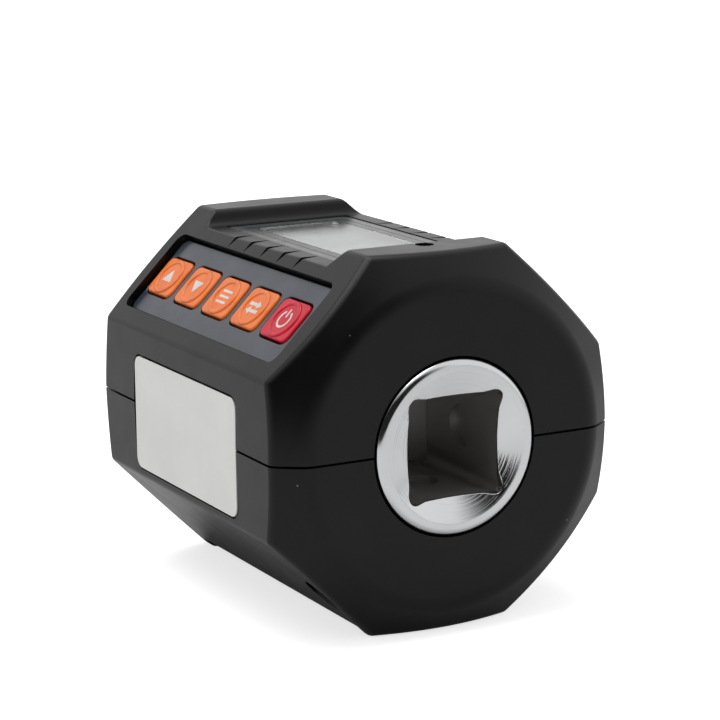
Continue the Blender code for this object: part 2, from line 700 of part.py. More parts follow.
def upper_housing(case, pad, shared, finish):
    half = case_half("upper_housing", 1.0, case, shared, finish)
    roof = HALF_HEIGHT - ROOF_Z
    outline = inset(half_octagon(1.0, -WALL), (WALL, WALL, roof, FLOOR_BOTTOM, WALL, 0.0))
    hollow = helper("upper_hollow", along_y(outline, -END_REACH, CASE_LENGTH + END_REACH), case)
    shaped(hollow, shared["hollow"], "INTERSECT")
    shaped(half, hollow, "DIFFERENCE")
    cut(half, ledge_cutter(), case)
    cut(half, gill_cutters(), case)
    shaped(half, shared["pad"], "DIFFERENCE")
    windows = [along_z(key_outline(i, KEY_GAP), -FLOOR_BOTTOM - WALL, 0.0) for i in range(KEY_COUNT)]
    cut(half, together(windows), pad)
    for rail in key_rails():
        joined(half, rail, pad)
    side = WINDOW_WIDTH / 2 + GAP
    ends = (WINDOW_START - GAP, WINDOW_START + WINDOW_LENGTH + GAP)
    rebate = block((-side, side), ends, (WINDOW_FLOOR, HALF_HEIGHT))
    cut(half, rebate, case)
    side -= WINDOW_LIP
    view = block((-side, side), (ends[0] + WINDOW_LIP, ends[1] - WINDOW_LIP), (ROOF_Z - WALL, HALF_HEIGHT))
    cut(half, view, case)
    port = cylinder(PORT_RADIUS, ROOF_Z - WALL, END_REACH, SMALL_STEPS, "Z", (PORT_X, PORT_Y, 0.0))
    cut(half, port, case)
    joined(half, board_posts(), case)
    joined(half, saddle_cheeks(1.0), case)
    joined(half, upper_bosses(), case)
    joined(half, rear_tabs(), case)
    outer, inner = WALL - LIP_THICKNESS - GAP, WALL + GAP
    rebate = parting_ring(case, outer, inner, -ROOTED, LIP_HEIGHT + GAP)
    shaped(half, rebate, "DIFFERENCE")
    pilots = []
    for side in (-1.0, 1.0):
        centre = (side * SCREW_X, SCREW_Y, 0.0)
        depth = SCREW_TIP_Z + GAP
        pilots.append(cylinder(SCREW_SHANK_RADIUS + GAP, -WALL, depth, SMALL_STEPS, "Z", centre))
    cut(half, together(pilots), case)
    shaped(half, shared["head"], "DIFFERENCE")
    shaped(half, shared["tail"], "DIFFERENCE")
    shaped(half, shared["label"], "DIFFERENCE")
    smooth(half)
    return half


def key_rails():
    """Two ribs behind the keypad's floor, which its board lies on."""
    span = (key_y(0) - KEY_LENGTH / 2, key_y(KEY_COUNT - 1) + KEY_LENGTH / 2)
    wing = KEY_HEIGHT / 2 + KEY_GAP + KEY_WING + GAP
    shapes = []
    for way in (-1.0, 1.0):
        x = sorted((-PAD_MIDDLE + way * wing, -PAD_MIDDLE + way * (wing + KEY_RAIL_WIDTH)))
        shapes.append(block(x, span, (-KEY_BOARD_TOP + GAP, -FLOOR_BOTTOM + PAD_FLOOR / 2)))
    return shapes


def board_posts():
    """Posts under the ledge with a peg on each, which goes through the main board."""
    shapes = []
    for x in (-POST_SPREAD / 2, POST_SPREAD / 2):
        for y in (POST_FRONT, POST_BACK):
            profile = [
                (0.0, BOARD_BOTTOM - PEG_REACH),
                (PEG_RADIUS, BOARD_BOTTOM - PEG_REACH),
                (PEG_RADIUS, BOARD_TOP + GAP),
                (POST_RADIUS, BOARD_TOP + GAP),
                (POST_RADIUS, ROOF_Z + SHALLOW_ROOT),
                (0.0, ROOF_Z + SHALLOW_ROOT),
            ]
            shapes.append(turned(profile, SMALL_STEPS, "Z", (x, y, 0.0)))
    return together(shapes)


def upper_bosses():
    """Blocks on the front wall that take the screws."""
    front = -FRONT_FACE_OUT + WALL - ROOTED
    shapes = []
    for side in (-1.0, 1.0):
        reach = SCREW_SHANK_RADIUS + GAP + ROOTED
        x = (side * SCREW_X - reach, side * SCREW_X + reach)
        shapes.append(block(x, (front, SCREW_Y + reach), (PARTING_GAP / 2, SCREW_BOSS_TOP)))
    return together(shapes)


def rear_tabs():
    """Tabs on the back wall of the upper half that reach down inside the lower one."""
    inside = CASE_LENGTH + BACK_FACE_OUT - WALL
    face = inside - GAP
    outline = [
        (face - TAB_THICKNESS, -TAB_DEPTH),
        (face, -TAB_DEPTH),
        (face, ROOTED),
        (inside + ROOTED, ROOTED),
        (inside + ROOTED, SADDLE_HEIGHT),
        (face - TAB_THICKNESS, SADDLE_HEIGHT),
    ]
    shapes = []
    for middle in (-TAB_X, TAB_X):
        shapes.append(along_x(outline, middle - TAB_WIDTH / 2, middle + TAB_WIDTH / 2))
    return together(shapes)


def lower_housing(case, shared, finish):
    half = case_half("lower_housing", -1.0, case, shared, finish)
    outline = inset(half_octagon(-1.0, -WALL), (WALL, WALL, WALL, WALL, WALL, 0.0))
    hollow = helper("lower_hollow", along_y(outline, -END_REACH, CASE_LENGTH + END_REACH), case)
    shaped(hollow, shared["hollow"], "INTERSECT")
    shaped(half, hollow, "DIFFERENCE")
    lip = parting_ring(case, WALL - LIP_THICKNESS, WALL, -ROOTED, LIP_HEIGHT)
    shaped(half, lip, "UNION")
    joined(half, bay_ribs(), case)
    joined(half, saddle_cheeks(-1.0), case)
    bosses, holes = [], []
    for side in (-1.0, 1.0):
        centre = (side * SCREW_X, SCREW_Y, 0.0)
        foot = -HALF_HEIGHT
        bosses.append(cylinder(SCREW_BOSS_RADIUS, foot, -PARTING_GAP / 2, SMALL_STEPS, "Z", centre))
        hole = [
            (0.0, -END_REACH),
            (SCREW_POCKET_RADIUS, -END_REACH),
            (SCREW_POCKET_RADIUS, SCREW_HEAD_Z + GAP),
            (SCREW_SHANK_RADIUS + GAP, SCREW_HEAD_Z + GAP),
            (SCREW_SHANK_RADIUS + GAP, WALL),
            (0.0, WALL),
        ]
        holes.append(turned(hole, SMALL_STEPS, "Z", centre))
    within = inset(half_octagon(-1.0, 0.0), (ROOTED, ROOTED, ROOTED, ROOTED, ROOTED, 0.0))
    core = helper("lower_core", along_y(within, 0.0, CASE_LENGTH), case)
    boss = helper("lower_bosses", together(bosses), case)
    shaped(boss, core, "INTERSECT")
    shaped(half, boss, "UNION")
    cut(half, together(holes), case)
    side = DOOR_WIDTH / 2 + DOOR_GAP
    ends = (DOOR_FRONT - DOOR_GAP, DOOR_BACK + DOOR_GAP)
    bay = block((-side, side), ends, (-END_REACH, BAY_RIB_TOP + ROOTED))
    cut(half, bay, case)
    shaped(half, shared["head"], "DIFFERENCE")
    shaped(half, shared["tail"], "DIFFERENCE")
    shaped(half, shared["label"], "DIFFERENCE")
    smooth(half)
    return half


def bay_ribs():
    """Walls at both sides of the cells."""
    inner = DOOR_WIDTH / 2
    ends = (LINK_Y, CASE_LENGTH - WALL)
    foot = -(HALF_HEIGHT + HALF_TOP - inner) + WALL
    shapes = []
    for side in (-1.0, 1.0):
        x = sorted((side * inner, side * (inner + DOOR_GAP + BAY_RIB)))
        shapes.append(block(x, ends, (foot, BAY_RIB_TOP)))
    return together(shapes)


def battery_door(case, finish):
    """A tray lid whose front edge turns under two tongues, with a nail slot at the back."""
    side = DOOR_WIDTH / 2
    flat = HALF_TOP - DOOR_SINK * math.tan(math.pi / 8)
    rise = side - flat
    outline = [
        (-side, -DOOR_INNER + DOOR_RIM),
        (-side, -DOOR_OUTER + rise),
        (-flat, -DOOR_OUTER),
        (flat, -DOOR_OUTER),
        (side, -DOOR_OUTER + rise),
        (side, -DOOR_INNER + DOOR_RIM),
        (flat, -DOOR_INNER + DOOR_RIM),
        (flat - DOOR_RIM, -DOOR_INNER),
        (-flat + DOOR_RIM, -DOOR_INNER),
        (-flat, -DOOR_INNER + DOOR_RIM),
    ]
    hinge = (0.0, DOOR_FRONT, -DOOR_OUTER)
    door = piece("battery_door", along_y(outline, DOOR_FRONT, DOOR_BACK), case, finish, hinge)
    under = -HALF_HEIGHT + WALL + GAP
    neck = DOOR_FRONT + TONGUE_SETBACK
    tongue = [
        (neck, -DOOR_OUTER + ROOTED),
        (neck + ROOTED, -DOOR_OUTER + ROOTED),
        (neck + ROOTED, under + TONGUE_THICKNESS),
        (DOOR_FRONT - TONGUE_REACH, under + TONGUE_THICKNESS),
        (DOOR_FRONT - TONGUE_REACH, under),
        (neck, under),
    ]
    tongues = []
    for x in (-TONGUE_SPREAD / 2, TONGUE_SPREAD / 2):
        tongues.append(along_x(tongue, x - TONGUE_WIDTH / 2, x + TONGUE_WIDTH / 2))
    joined(door, together(tongues), case)
    slot = block(
        (-NAIL_SLOT_LENGTH / 2, NAIL_SLOT_LENGTH / 2),
        (DOOR_BACK - NAIL_SLOT_WIDTH, DOOR_BACK + ROOTED),
        (-END_REACH, -DOOR_OUTER + NAIL_SLOT_DEPTH),
    )
    cut(door, slot, case)
    smooth(door)


def torque_shaft(case, finish):
    """One forging: socket head, gauged waist, tail and male square."""
    blend = HEAD_RADIUS - WAIST_RADIUS
    eased = HEAD_EDGE * (1 - math.sqrt(0.5))
    profile = [
        (0.0, HEAD_FRONT),
        (HEAD_RADIUS - HEAD_EDGE, HEAD_FRONT),
        (HEAD_RADIUS - eased, HEAD_FRONT + eased),
        (HEAD_RADIUS, HEAD_FRONT + HEAD_EDGE),
        (HEAD_RADIUS, HEAD_BACK),
    ]
    for i in range(1, ARC_STEPS + 1):
        turn = math.pi / 2 * i / ARC_STEPS
        profile.append((WAIST_RADIUS + blend * math.cos(turn) ** 2, HEAD_BACK + HEAD_SWEEP * math.sin(turn)))
    profile += [
        (WAIST_RADIUS, WAIST_BACK),
        (TAIL_RADIUS, TAIL_FRONT),
        (TAIL_RADIUS, TAIL_END - HEAD_EDGE / 2),
        (TAIL_RADIUS - HEAD_EDGE / 2, TAIL_END),
        (0.0, TAIL_END),
    ]
    shaft = piece("torque_shaft", turned(profile, END_STEPS), case, finish)
    socket = lofted([square_section(SOCKET_SQUARE, SOCKET_CORNER, y) for y in (-END_REACH, SOCKET_FLOOR)])
    cut(shaft, socket, case)
    slope = (SOCKET_LEAD_RADIUS - SOCKET_SQUARE / 2) / SOCKET_LEAD_DEPTH
    lead = [
        (0.0, HEAD_FRONT - ROOTED),
        (SOCKET_LEAD_RADIUS + slope * ROOTED, HEAD_FRONT - ROOTED),
        (SOCKET_SQUARE / 2 - slope * GAP, HEAD_FRONT + SOCKET_LEAD_DEPTH + GAP),
        (0.0, HEAD_FRONT + SOCKET_LEAD_DEPTH + GAP),
    ]
    cut(shaft, turned(lead, END_STEPS), case)
    reach = SOCKET_SQUARE / 2 + SOCKET_DIMPLE_DEPTH
    for axis in ("X", "Z"):
        centre = (0.0, SOCKET_DIMPLE_Y, 0.0)
        dimple = cylinder(SOCKET_DIMPLE_RADIUS, -reach, reach, SMALL_STEPS, axis, centre)
        cut(shaft, dimple, case)
    tip = DRIVE_SQUARE - 2 * DRIVE_CHAMFER
    drive = lofted(
        [
            square_section(DRIVE_SQUARE, DRIVE_CORNER, TAIL_END - ROOTED),
            square_section(DRIVE_SQUARE, DRIVE_CORNER, DRIVE_END - DRIVE_CHAMFER),
            square_section(tip, DRIVE_CORNER, DRIVE_END),
        ]
    )
    joined(shaft, drive, case)
    hole = [
        (0.0, DRIVE_SQUARE / 2 - BALL_HOLE_DEPTH),
        (BALL_HOLE_RADIUS, DRIVE_SQUARE / 2 - BALL_HOLE_DEPTH),
        (BALL_HOLE_RADIUS, DRIVE_SQUARE / 2 - BALL_MOUTH_DEPTH),
        (BALL_MOUTH_RADIUS, DRIVE_SQUARE / 2 - BALL_MOUTH_DEPTH / 2),
        (BALL_MOUTH_RADIUS, DRIVE_SQUARE),
        (0.0, DRIVE_SQUARE),
    ]
    drill = turned(hole, SMALL_STEPS, "Z", (0.0, BALL_Y, 0.0))
    cut(shaft, drill, case)
    slots = []
    for side in (-1.0, 1.0):
        x = sorted((side * KEY_SLOT_FLAT, side * END_REACH))
        slots.append(block(x, (KEY_SLOT_FRONT, KEY_SLOT_FRONT + KEY_SLOT_WIDTH), (-END_REACH, END_REACH)))
        x = sorted((side * WAIST_FLAT, side * END_REACH))
        gauged = (GAUGE_Y - GAUGE_LENGTH / 2 - ROOTED, GAUGE_Y + GAUGE_LENGTH / 2 + ROOTED)
        slots.append(block(x, gauged, (-END_REACH, END_REACH)))
    cut(shaft, together(slots), case)
    smooth(shaft)


def detent(case, steel, spring_steel):
    """Ball and spring in the hole of the male square."""
    profile = []
    rows = SMALL_STEPS // 2
    for i in range(rows + 1):
        turn = math.pi * i / rows
        radius = 0.0 if i in (0, rows) else BALL_RADIUS * math.sin(turn)
        profile.append((radius, BALL_Z - BALL_RADIUS * math.cos(turn)))
    at = (0.0, BALL_Y, BALL_Z)
    ball = piece("detent_ball", turned(profile, SMALL_STEPS, "Z", (0.0, BALL_Y, 0.0)), case, steel, at)
    smooth(ball)
    foot = DRIVE_SQUARE / 2 - BALL_HOLE_DEPTH + GAP
    spring = coil(
        SPRING_RADIUS,
        SPRING_RADIUS,
        SPRING_WIRE,
        SPRING_TURNS,
        foot,
        BALL_Z - BALL_RADIUS - GAP,
        axis="Z",
        centre=(0.0, BALL_Y, 0.0),
        steps=10,
    )
    smooth(piece("detent_spring", spring, case, spring_steel))


def strain_gauges(case, finish):
    for name, side in (("strain_gauge_left", -1.0), ("strain_gauge_right", 1.0)):
        x = sorted((side * (WAIST_FLAT + GAP), side * (WAIST_FLAT + GAP + GAUGE_THICKNESS)))
        y = (GAUGE_Y - GAUGE_LENGTH / 2, GAUGE_Y + GAUGE_LENGTH / 2)
        piece(name, block(x, y, (-GAUGE_HEIGHT / 2, GAUGE_HEIGHT / 2)), case, finish)


def display(case, finishes):
    """Window, display panel and the two strips that connect it to the board."""
    outline = rounded_rectangle((0.0, WINDOW_MIDDLE), (WINDOW_WIDTH, WINDOW_LENGTH), WINDOW_CORNER)
    pane = along_z(outline, WINDOW_TOP - WINDOW_THICKNESS, WINDOW_TOP)
    piece("display_window", pane, case, finishes["window"])
    side = PANEL_WIDTH / 2
    y = (WINDOW_MIDDLE - PANEL_LENGTH / 2, WINDOW_MIDDLE + PANEL_LENGTH / 2)
    panel = block((-side, side), y, (PANEL_TOP - PANEL_THICKNESS, PANEL_TOP))
    piece("lcd_panel", panel, case, finishes["panel"])
    for name, way in (("lcd_strip_left", -1.0), ("lcd_strip_right", 1.0)):
        x = sorted((way * side, way * (side - STRIP_WIDTH)))
        strip = block(x, (y[0] + ROOTED, y[1] - ROOTED), (STRIP_TOP - STRIP_HEIGHT, STRIP_TOP))
        piece(name, strip, case, finishes["rubber"])


def main_board(case, finishes):
    """Circuit board on the pegs, its two chips and the buzzer."""
    side = BOARD_WIDTH / 2
    board = piece(
        "main_board",
        block((-side, side), (BOARD_FRONT, BOARD_BACK), (BOARD_BOTTOM, BOARD_TOP)),
        case,
        finishes["board"],
    )
    holes = []
    for x in (-POST_SPREAD / 2, POST_SPREAD / 2):
        for y in (POST_FRONT, POST_BACK):
            span = (BOARD_BOTTOM - GAP, BOARD_TOP + GAP)
            holes.append(cylinder(PEG_RADIUS + GAP, *span, SMALL_STEPS, "Z", (x, y, 0.0)))
    cut(board, together(holes), case)
    under = (BOARD_BOTTOM - GAP - CHIP_THICKNESS, BOARD_BOTTOM - GAP)
    for name, size, y in (
        ("controller_chip", CONTROLLER_SIDE, CONTROLLER_Y),
        ("amplifier_chip", AMPLIFIER_SIDE, AMPLIFIER_Y),
    ):
        body = block((-size / 2, size / 2), (y - size / 2, y + size / 2), under)
        piece(name, body, case, finishes["chip"])
    foot = BOARD_TOP + GAP
    shell = cylinder(BUZZER_RADIUS, foot, foot + BUZZER_HEIGHT, ROUND_STEPS, "Z", (PORT_X, BUZZER_Y, 0.0))
    smooth(piece("buzzer", shell, case, finishes["chip"]))


def keypad(pad, finishes):
    """Overlay, keys, domes and board, modelled flat with Z out of the bevel."""
    overlay = piece(
        "keypad_overlay",
        along_z(pad_outline(GAP), -OVERLAY_BOTTOM, -OVERLAY_SINK),
        pad,
        finishes["overlay"],
    )
    holes = [along_z(key_outline(i, GAP), -OVERLAY_BOTTOM - GAP, 0.0) for i in range(KEY_COUNT)]
    cut(overlay, together(holes), pad)
    for i in range(KEY_COUNT):
        name = "power_key" if i == 0 else f"key_{i + 1}"
        key(name, i, pad, finishes["red" if i == 0 else "orange"])
        dome(f"key_dome_{i + 1}", i, pad, finishes["steel"])
    reach = KEY_HEIGHT / 2 + KEY_GAP + KEY_WING + GAP + KEY_RAIL_WIDTH + KEY_BOARD_MARGIN
    beyond = KEY_LENGTH / 2 + KEY_BOARD_MARGIN
    y = (key_y(0) - beyond, key_y(KEY_COUNT - 1) + beyond)
    board = block((-PAD_MIDDLE - reach, -PAD_MIDDLE + reach), y, (-KEY_BOARD_BOTTOM, -KEY_BOARD_TOP))
    piece("keypad_board", board, pad, finishes["board"])


def key(name, index, pad, finish):
    """A cap with a rounded rim and a raised disc, and wings that stop it behind the floor."""
    y = key_y(index)
    rim = KEY_ROUND
    eased = rim * (1 - math.sqrt(0.5))
    foot = WING_TOP + KEY_WING_THICKNESS / 2
    sections = []
    for margin, depth in ((0.0, foot), (0.0, KEY_TOP + rim), (-eased, KEY_TOP + eased), (-rim, KEY_TOP)):
        sections.append([(x, v, -depth) for x, v in key_outline(index, margin)])
    at = (-PAD_MIDDLE, y, -KEY_TOP)
    cap = piece(name, lofted(sections), pad, finish, at)
    wing = KEY_HEIGHT / 2 + KEY_GAP + KEY_WING
    wings = block(
        (-PAD_MIDDLE - wing, -PAD_MIDDLE + wing),
        (y - KEY_LENGTH / 2 + rim, y + KEY_LENGTH / 2 - rim),
        (-WING_BOTTOM, -WING_TOP),
    )
    joined(cap, wings, pad)
    disc = [
        (0.0, -KEY_TOP - rim),
        (KEY_DISC_RADIUS, -KEY_TOP - rim),
        (KEY_DISC_RADIUS, -KEY_TOP + KEY_DISC_HEIGHT / 2),
        (KEY_DISC_RADIUS - KEY_DISC_HEIGHT, -KEY_TOP + KEY_DISC_HEIGHT),
        (0.0, -KEY_TOP + KEY_DISC_HEIGHT),
    ]
    raised = turned(disc, SMALL_STEPS, "Z", (-PAD_MIDDLE, y, 0.0))
    joined(cap, raised, pad)
    smooth(cap)


def dome(name, index, pad, finish):
    """A thin spherical shell, open underneath."""
    outer, inner = [], []
    for i in range(DOME_ROWS + 1):
        part = i / DOME_ROWS
        outer.append((DOME_RADIUS * part, -DOME_TOP - DOME_HEIGHT * part**2))
        sag = DOME_WALL + (DOME_HEIGHT - DOME_WALL) * part**2
        inner.append(((DOME_RADIUS - DOME_WALL) * part, -DOME_TOP - sag))
    profile = outer + inner[::-1]
    shell = turned(profile, SMALL_STEPS, "Z", (-PAD_MIDDLE, key_y(index), 0.0))
    smooth(piece(name, shell, pad, finish))


def side_label(case, finish):
    low = -HALF_WIDTH + LABEL_SINK
    plate = along_x(label_outline(0.0), low, low + LABEL_THICKNESS)
    piece("side_label", plate, case, finish)


def cells(case, finishes):
    """Two AAA cells side by side, one each way round, with their springs and plates."""
    half = CELL_SPREAD / 2
    cell("cell_left", -half, CELL_FRONT, 1.0, case, finishes["cell"])
    cell("cell_right", half, CELL_FRONT + CELL_SPRING_ROOM, -1.0, case, finishes["cell"])
    behind = CELL_FRONT + CELL_LENGTH + CONTACT_GAP
    for name, x, low, radii in (
        ("cell_spring_rear", -half, behind, (CELL_SPRING_TIP, CELL_SPRING_FOOT)),
        ("cell_spring_front", half, CELL_FRONT, (CELL_SPRING_FOOT, CELL_SPRING_TIP)),
    ):
        ends = (low, low + CELL_SPRING_LENGTH)
        wire = coil(*radii, CELL_SPRING_WIRE, CELL_SPRING_TURNS, *ends, centre=(x, 0.0, CELL_Z))
        smooth(piece(name, wire, case, finishes["steel"]))
    link = half + CONTACT_WIDTH / 2
    z = (CELL_Z - CONTACT_HEIGHT / 2, CELL_Z + CONTACT_HEIGHT / 2)
    plate = block((-link, link), (LINK_Y, LINK_Y + CONTACT_THICKNESS), z)
    piece("cell_link", plate, case, finishes["steel"])
    for name, x in (("contact_left", -half), ("contact_right", half)):
        across = (x - CONTACT_WIDTH / 2, x + CONTACT_WIDTH / 2)
        piece(name, block(across, (CONTACT_Y, CONTACT_Y + CONTACT_THICKNESS), z), case, finishes["steel"])


def cell(name, x, start, way, case, finish):
    """One cell from y = start, with its nub at the front for way 1 and at the back for way -1."""
    profile = [
        (0.0, 0.0),
        (CELL_NUB_RADIUS, 0.0),
        (CELL_NUB_RADIUS, CELL_NUB),
        (CELL_RADIUS - CELL_EDGE, CELL_NUB),
        (CELL_RADIUS, CELL_NUB + CELL_EDGE),
        (CELL_RADIUS, CELL_LENGTH - CELL_EDGE),
        (CELL_RADIUS - CELL_EDGE, CELL_LENGTH),
        (0.0, CELL_LENGTH),
    ]
    placed = [(r, start + y if way > 0 else start + CELL_LENGTH - y) for r, y in profile]
    smooth(piece(name, turned(placed, ROUND_STEPS, "Y", (x, 0.0, CELL_Z)), case, finish))


def case_screws(case, finish):
    for name, side in (("case_screw_left", -1.0), ("case_screw_right", 1.0)):
        profile = [
            (0.0, SCREW_HEAD_Z - SCREW_HEAD_HEIGHT),
            (SCREW_HEAD_RADIUS, SCREW_HEAD_Z - SCREW_HEAD_HEIGHT),
            (SCREW_HEAD_RADIUS, SCREW_HEAD_Z),
            (SCREW_SHANK_RADIUS, SCREW_HEAD_Z),
            (SCREW_SHANK_RADIUS, SCREW_TIP_Z - SCREW_SHANK_RADIUS),
            (0.0, SCREW_TIP_Z),
        ]
        centre = (side * SCREW_X, SCREW_Y, 0.0)
        screw = piece(name, turned(profile, SMALL_STEPS, "Z", centre), case, finish)
        low = SCREW_HEAD_Z - SCREW_HEAD_HEIGHT
        arm = (SCREW_CROSS_LENGTH / 2, SCREW_CROSS_WIDTH / 2)
        for across, along in (arm, arm[::-1]):
            x = (side * SCREW_X - across, side * SCREW_X + across)
            y = (SCREW_Y - along, SCREW_Y + along)
            cut(screw, block(x, y, (low - GAP, low + SCREW_CROSS_DEPTH)), case)
        smooth(screw)


def main():
    for old in list(bpy.data.objects):
        bpy.data.objects.remove(old, do_unlink=True)
    case = frame("case_frame", None, (0.0, FRONT_CORNERS_Y, HALF_HEIGHT))
    pad = frame("keypad_frame", case, (-HALF_TOP, 0.0, HALF_HEIGHT), -BEVEL_TILT)
    plastic = material("black plastic", (0.014, 0.014, 0.015), 0.42)
    chrome = material("chrome", (0.72, 0.72, 0.73), 0.08, 1.0)
    steel = material("nickelled steel", (0.6, 0.58, 0.54), 0.3, 1.0)
    finishes = {
        "steel": steel,
        "window": material("window", (0.55, 0.56, 0.58), 0.05, 0.0, 0.35),
        "panel": material("display panel", (0.42, 0.45, 0.42), 0.2),
        "rubber": material("conductive rubber", (0.1, 0.1, 0.1), 0.7),
        "board": material("circuit board", (0.02, 0.12, 0.05), 0.5),
        "chip": material("chip", (0.02, 0.02, 0.02), 0.5),
        "overlay": material("overlay", (0.1, 0.11, 0.13), 0.15),
        "red": material("red key", (0.6, 0.03, 0.07), 0.25),
        "orange": material("orange key", (0.85, 0.24, 0.06), 0.25),
        "cell": material("cell jacket", (0.05, 0.12, 0.2), 0.3),
    }
    shared = shared_helpers(case, pad)
    upper_housing(case, pad, shared, plastic)
    lower_housing(case, shared, plastic)
    battery_door(case, plastic)
    torque_shaft(case, chrome)
    detent(case, chrome, steel)
    strain_gauges(case, material("gauge foil", (0.75, 0.5, 0.2), 0.4))
    display(case, finishes)
    main_board(case, finishes)
    keypad(pad, finishes)
    side_label(case, material("pale plate", (0.6, 0.6, 0.56), 0.5))
    cells(case, finishes)
    case_screws(case, steel)


main()
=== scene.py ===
"""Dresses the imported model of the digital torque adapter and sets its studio.

Each visible piece that the solids only outline is made again here with finer curves and rounded
edges, in the frame of the empty "case_frame": X right, Y back from the plane of the case's front
corners, Z up from the axis. The keypad's pieces are made flat in the frame of "keypad_frame": X up
the bevel, Y along the axis and Z out of the bevel. The sizes are those of the solids.
"""

import json
import math

import bmesh
import bpy
from mathutils import Matrix, Vector

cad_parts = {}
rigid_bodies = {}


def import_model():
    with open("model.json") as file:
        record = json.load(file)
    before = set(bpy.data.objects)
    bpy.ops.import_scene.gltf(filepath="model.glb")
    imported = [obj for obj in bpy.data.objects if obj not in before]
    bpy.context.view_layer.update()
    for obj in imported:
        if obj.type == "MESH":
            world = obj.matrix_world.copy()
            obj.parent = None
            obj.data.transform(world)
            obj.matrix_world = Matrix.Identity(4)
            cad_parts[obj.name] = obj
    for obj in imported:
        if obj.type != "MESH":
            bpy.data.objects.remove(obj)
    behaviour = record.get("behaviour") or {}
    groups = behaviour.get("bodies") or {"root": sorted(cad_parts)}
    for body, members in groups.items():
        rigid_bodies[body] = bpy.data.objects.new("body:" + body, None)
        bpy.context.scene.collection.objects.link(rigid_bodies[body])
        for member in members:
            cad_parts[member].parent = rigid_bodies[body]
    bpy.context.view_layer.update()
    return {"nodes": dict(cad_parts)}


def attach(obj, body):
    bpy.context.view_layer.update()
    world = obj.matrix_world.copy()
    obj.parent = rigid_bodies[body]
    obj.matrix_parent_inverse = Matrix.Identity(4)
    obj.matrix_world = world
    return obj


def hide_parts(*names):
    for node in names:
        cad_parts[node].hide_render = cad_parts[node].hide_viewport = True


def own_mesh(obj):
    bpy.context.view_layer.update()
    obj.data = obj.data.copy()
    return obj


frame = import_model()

MM = 0.001

# Clearances
GAP = 0.3 * MM  # between pieces that seat on each other
KEY_GAP = 0.35 * MM  # round a key in its window
BORE_GAP = 0.35 * MM  # round the shaft in the case

# Case, an octagon in section. Its height follows from the shaft and the cells under it
CASE_LENGTH = 49.0 * MM  # corner to corner along the axis, which lets the cells be 44.5 mm long
CASE_WIDTH = 48.48 * MM  # at the parting line
SIDE_DRAFT = 0.25 * MM  # each side face leans in by this above and below the parting line
TOP_FLAT = 19.7 * MM
SIDE_FLAT = 20.1 * MM
EDGE_RADIUS = 1.2 * MM
WALL = 2.2 * MM
PARTING_GAP = 0.3 * MM
LIP_THICKNESS = 0.8 * MM  # lip of the lower half, which stands inside the wall of the upper one
LIP_HEIGHT = 0.9 * MM

# Turned ends of the case: a flat round face inside a cone that trims the octagon's corners
FRONT_FACE_RADIUS = 20.5 * MM
FRONT_FACE_OUT = 4.07 * MM
BACK_FACE_RADIUS = 20.5 * MM
BACK_FACE_OUT = 2.3 * MM
FACE_BLEND = 4.0 * MM
END_REACH = 34.0 * MM  # the cones are drawn out to this radius, past the octagon's corners

# Recess across the top between the two bridges, which leaves the ledge of the display
LEDGE_DEPTH = 2.05 * MM
LEDGE_FRONT = 7.1 * MM
LEDGE_TO_REAR = 6.7 * MM  # from its back end to the plane of the case's rear corners
FRONT_BRIDGE_SLOPE = 1.6 * MM  # run of each wall of the recess from its foot to its top
BACK_BRIDGE_SLOPE = 0.9 * MM
LEDGE_FILLET = 1.6 * MM
FRONT_BROW_ROUND = 0.7 * MM  # top edges of the two bridges
BACK_BROW_ROUND = 1.2 * MM
BROW_SKIM = 0.01 * MM  # by which the cutter clears the bridges' tops
LEDGE_WALL = 2.1 * MM

# Gills, louvres that wrap the two long edges of the ledge
GILL_COUNT = 5
GILL_FROM_FRONT = 6.9 * MM  # from the front end of the ledge to the first gill
GILL_TO_BACK = 9.5 * MM
GILL_FADE = 0.03 * MM  # what is left of a gill's depth at its ends
GILL_INSET = 9.35 * MM

# Display window, and the main board under it
WINDOW_WIDTH = 18.4 * MM
WINDOW_MARGIN = 1.1 * MM  # of ledge before and behind it
WINDOW_THICKNESS = 1.0 * MM
WINDOW_CORNER = 1.0 * MM
WINDOW_SINK = 0.1 * MM
WINDOW_LIP = 1.6 * MM
PANEL_THICKNESS = 1.8 * MM
STRIP_HEIGHT = 1.2 * MM
BOARD_THICKNESS = 1.2 * MM
BOARD_FRONT = -0.8 * MM
BOARD_TO_REAR = 3.5 * MM
POST_SPREAD = 13.6 * MM
POST_FROM_FRONT = 7.0 * MM  # from the board's front edge
POST_FROM_BACK = 2.3 * MM
POST_RADIUS = 1.2 * MM
PEG_RADIUS = 0.6 * MM
PEG_REACH = 0.8 * MM

# Sound port in the front bridge
PORT_X = 0.3 * MM
PORT_Y = 4.0 * MM
PORT_RADIUS = 1.2 * MM

# Keypad on the upper left bevel: distances down the bevel are from its top edge
PAD_TOP = 4.8 * MM
PAD_HEIGHT = 12.7 * MM
PAD_MARGIN = 2.0 * MM  # from the planes of the case's front and rear corners
PAD_CORNER = 1.5 * MM
OVERLAY_SINK = 1.2 * MM
OVERLAY_THICKNESS = 0.5 * MM
PAD_FLOOR = 1.1 * MM
KEY_COUNT = 5
KEY_BRIDGE = 1.4 * MM  # between two keys
KEY_ROW_FRONT = 2.6 * MM  # from the recess's front end to the first key
KEY_ROW_BACK = 0.8 * MM
KEY_HEIGHT = 5.9 * MM
KEY_PROUD = 0.45 * MM
KEY_ROUND = 0.3 * MM
KEY_TRAVEL = 0.4 * MM
DOME_GAP = 0.05 * MM  # between a key pressed home and its dome
KEY_WING = 1.0 * MM
KEY_WING_THICKNESS = 0.6 * MM
DOME_HEIGHT = 0.45 * MM
KEY_RAIL_WIDTH = 0.9 * MM

